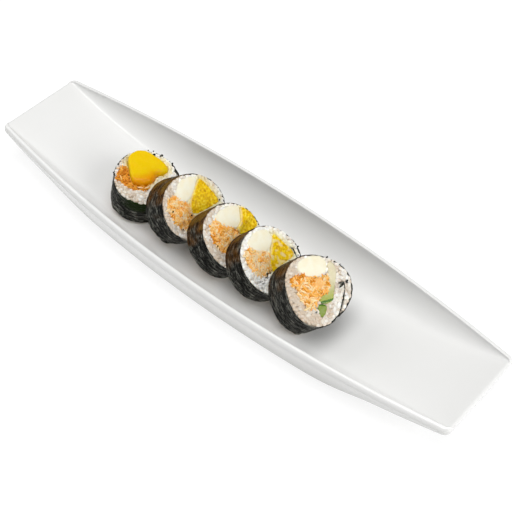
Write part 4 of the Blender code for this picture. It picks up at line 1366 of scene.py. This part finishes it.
def grainOn(roll, spot, front):
    b = riceBed
    x, y, turn, length, tilt, tone, jitter = spot
    half = np.array(b["grainHalf"]) * (length, b["slimmest"] + b["plumper"] * tone, 1.0)
    points = grainPoints * half
    matrix = np.array(Matrix.Rotation(turn, 3, "Z") @ Matrix.Rotation(tilt, 3, "Y"))
    points = points @ matrix.T
    bed, _ = riceHeight(roll, np.array([x]), np.array([y]))
    height = points[:, 2] + (bed[0] + b["lift"] + b["jitter"] * jitter + roll["lift"])
    # the knife has flattened what stood out of the face
    flat = b["flatTop"]
    height = np.where(height > flat, flat + (height - flat) * roll["cut"], height)
    height = belowNeighbour(roll, points[:, 1] + y, height)
    if not front:
        height = -roll["thickness"] - np.minimum(height, b["backTop"])
    # painted shade: each grain darker towards its lower side
    upward = np.clip((points[:, 2] + half[2]) / (2 * half[2]), 0, 1)
    relief = np.clip(b["lowShade"] + b["shadeLiftToTop"] * upward, 0, 1)
    white = riceToneAndLight(roll, np.array([x]), np.array([y]))[0]
    tone = np.clip(white + b["toneSpread"] * (tone - 0.5), 0, 1)
    plan = points[:, :2] + (x, y)
    angle = np.arctan2(plan[:, 1], plan[:, 0])
    # where the seaweed is low or folds over the face, grains of the front reach over its edge
    overRim = b["overLow"] * humpOver(np.degrees(angle), *roll["low"][:2])
    overRim = overRim + b["overLip"] * humpOver(np.degrees(angle), *roll["lip"][:2])
    plan = heldWithin(plan, rollRadius(roll, angle) - b["inset"] + (overRim if front else 0))
    return np.column_stack([plan, height]) * mm, relief, np.full(len(points), tone)


def makeRiceBed(name, roll):
    b = riceBed
    outlines = outlinesOn(name)
    roll["cream"] = outlinesOn(name, ("cream",))
    holes = [grownBy(outline, -b["overlap"]) for outline in outlines]
    rim = onRoll(roll, np.arange(0, 360, 3.0), b["coreInset"])
    flap, _ = noriPath(roll, until=roll["overlap"] + noriSheet["lapEase"])
    shrink = np.clip(b["flapReach"] - distanceTo(rim, flap, closed=False), 0, 1)
    rim *= 1 - (shrink * b["flapShrink"] / np.hypot(rim[:, 0], rim[:, 1]))[:, None]

    def frontOf(x, y, edgeGap):
        height, fine = riceHeight(roll, x, y)
        # painted shade, darker in the dips of the packed rice
        relief = np.clip(b["coreShadeMiddle"] + b["coreShadeSpread"] * fine, 0, 1)
        return np.minimum(height, 2 * roll["uneven"]), relief, np.clip(riceToneAndLight(roll, x, y), 0, 1)

    def backOf(x, y, edgeGap):
        height, relief, shade = frontOf(x, y, edgeGap)
        return -roll["thickness"] - np.minimum(height, -0.1), relief, shade

    core = slabMesh(name + "_rice", rim, holes, b["cell"], frontOf, backOf)
    rng = random.Random(roll["seed"])
    points, faces, relief, shade, juice = [], [], [], [], []
    for front in (True, False):
        spots = grainSpots(roll, outlines, flap, rng)
        if not front:
            for x, y, turn in roll["strays"]:
                spots.append((x, y, math.radians(turn), *b["strayGrain"]))
        for spot in spots:
            grain, grainRelief, grainShade = grainOn(roll, spot, front)
            start = sum(len(p) for p in points)
            order = 1 if front else -1
            faces += [tuple(start + i for i in face[::order]) for face in grainFaces]
            points.append(grain)
            juice.append(juiceAt(name, grain[:, 0] / mm, grain[:, 1] / mm))
            relief.append(grainRelief)
            shade.append(grainShade)
    loose = meshFrom(name + "_grains", np.vstack(points), faces, relief=np.concatenate(relief),
                     shade=np.concatenate(shade), juice=np.concatenate(juice))
    bedded = np.array([tuple(v.co) for v in core.vertices]) / mm
    soaked = core.attributes.new("juice", "FLOAT", "POINT")
    soaked.data.foreach_set("value", juiceAt(name, bedded[:, 0], bedded[:, 1]).astype(np.float32))
    matrix = rollMatrix(roll)
    addPiece(name + "_ricePacked", core, "rice", name + "_rice", matrix)
    addPiece(name + "_riceGrains", loose, "rice", name + "_rice", matrix)
    return len(points)


for rollName, rollShape in rolls.items():
    grainTotal = makeRiceBed(rollName, rollShape)
    print("rice bedded in", rollName, "with", grainTotal, "grains")

# Crumbs of seaweed on the rice, as (x, y, size) on the cut face
crumbs = {
    "roll1": [(15.6, 13.2, 0.6), (17.6, 10.6, 0.6), (16.3, 8.8, 1.0), (18.9, 4.7, 1.3), (20, -3.8, 0.8),
              (-13.6, 15.2, 0.7), (-12.9, 16.2, 0.7), (-5.8, 18.9, 0.7)],
    "roll2": [(17.5, -5.5, 0.7), (-14.2, 5.4, 0.5), (-14.4, -7, 0.5), (-4.5, -3, 0.6)],
    "roll3": [(-13.5, 3.5, 0.5)],
    "roll4": [(16, -3.3, 0.9), (20.1, -5.1, 0.6)],
    "roll5": [(14.6, 13.1, 0.7), (17.2, 8.7, 0.6), (19.3, 5.7, 0.6), (-8.4, -10.3, 0.7), (17.5, -5.3, 0.7),
              (12.6, -5.2, 0.9), (13.8, -4.7, 1.3), (15.2, -4.2, 0.8), (17.9, -4.4, 0.9)],
}
crumbShape = {
    "corners": 7, "reach": 1.3, "narrower": 0.7, "thickness": 0.3, "overBed": 1.35, "lowest": 0.45,
    "waver": 0.15,
}


def makeCrumbs(name, roll):
    # each crumb lies on the tops of the grains, which the knife has flattened
    c = crumbShape
    rng = random.Random(roll["seed"] + 3)
    bm = bmesh.new()
    for x, y, size in crumbs[name]:
        grainTop = riceHeight(roll, np.array([x]), np.array([y]))[0][0] + c["overBed"]
        lying = max(c["lowest"], riceBed["flatTop"] + (grainTop - riceBed["flatTop"]) * roll["cut"])
        corners = []
        for i in range(c["corners"]):
            angle = 2 * math.pi * i / c["corners"]
            reach = c["reach"] * size * rng.uniform(0.55, 1.0)
            spot = (x + reach * math.cos(angle), y + c["narrower"] * reach * math.sin(angle))
            height = lying + rng.uniform(0, c["waver"])
            corners.append(bm.verts.new((spot[0] * mm, spot[1] * mm, height * mm)))
        flake = bm.faces.new(corners)
        lifted = bmesh.ops.extrude_face_region(bm, geom=[flake])
        tops = [item for item in lifted["geom"] if isinstance(item, bmesh.types.BMVert)]
        bmesh.ops.translate(bm, verts=tops, vec=(0, 0, c["thickness"] * mm))
    mesh = meshOf(name + "_crumbs", bm)
    addPiece(name + "_crumbs", mesh, "nori", name + "_nori", rollMatrix(roll))


for rollName, rollShape in rolls.items():
    makeCrumbs(rollName, rollShape)
print("crumbs scattered")
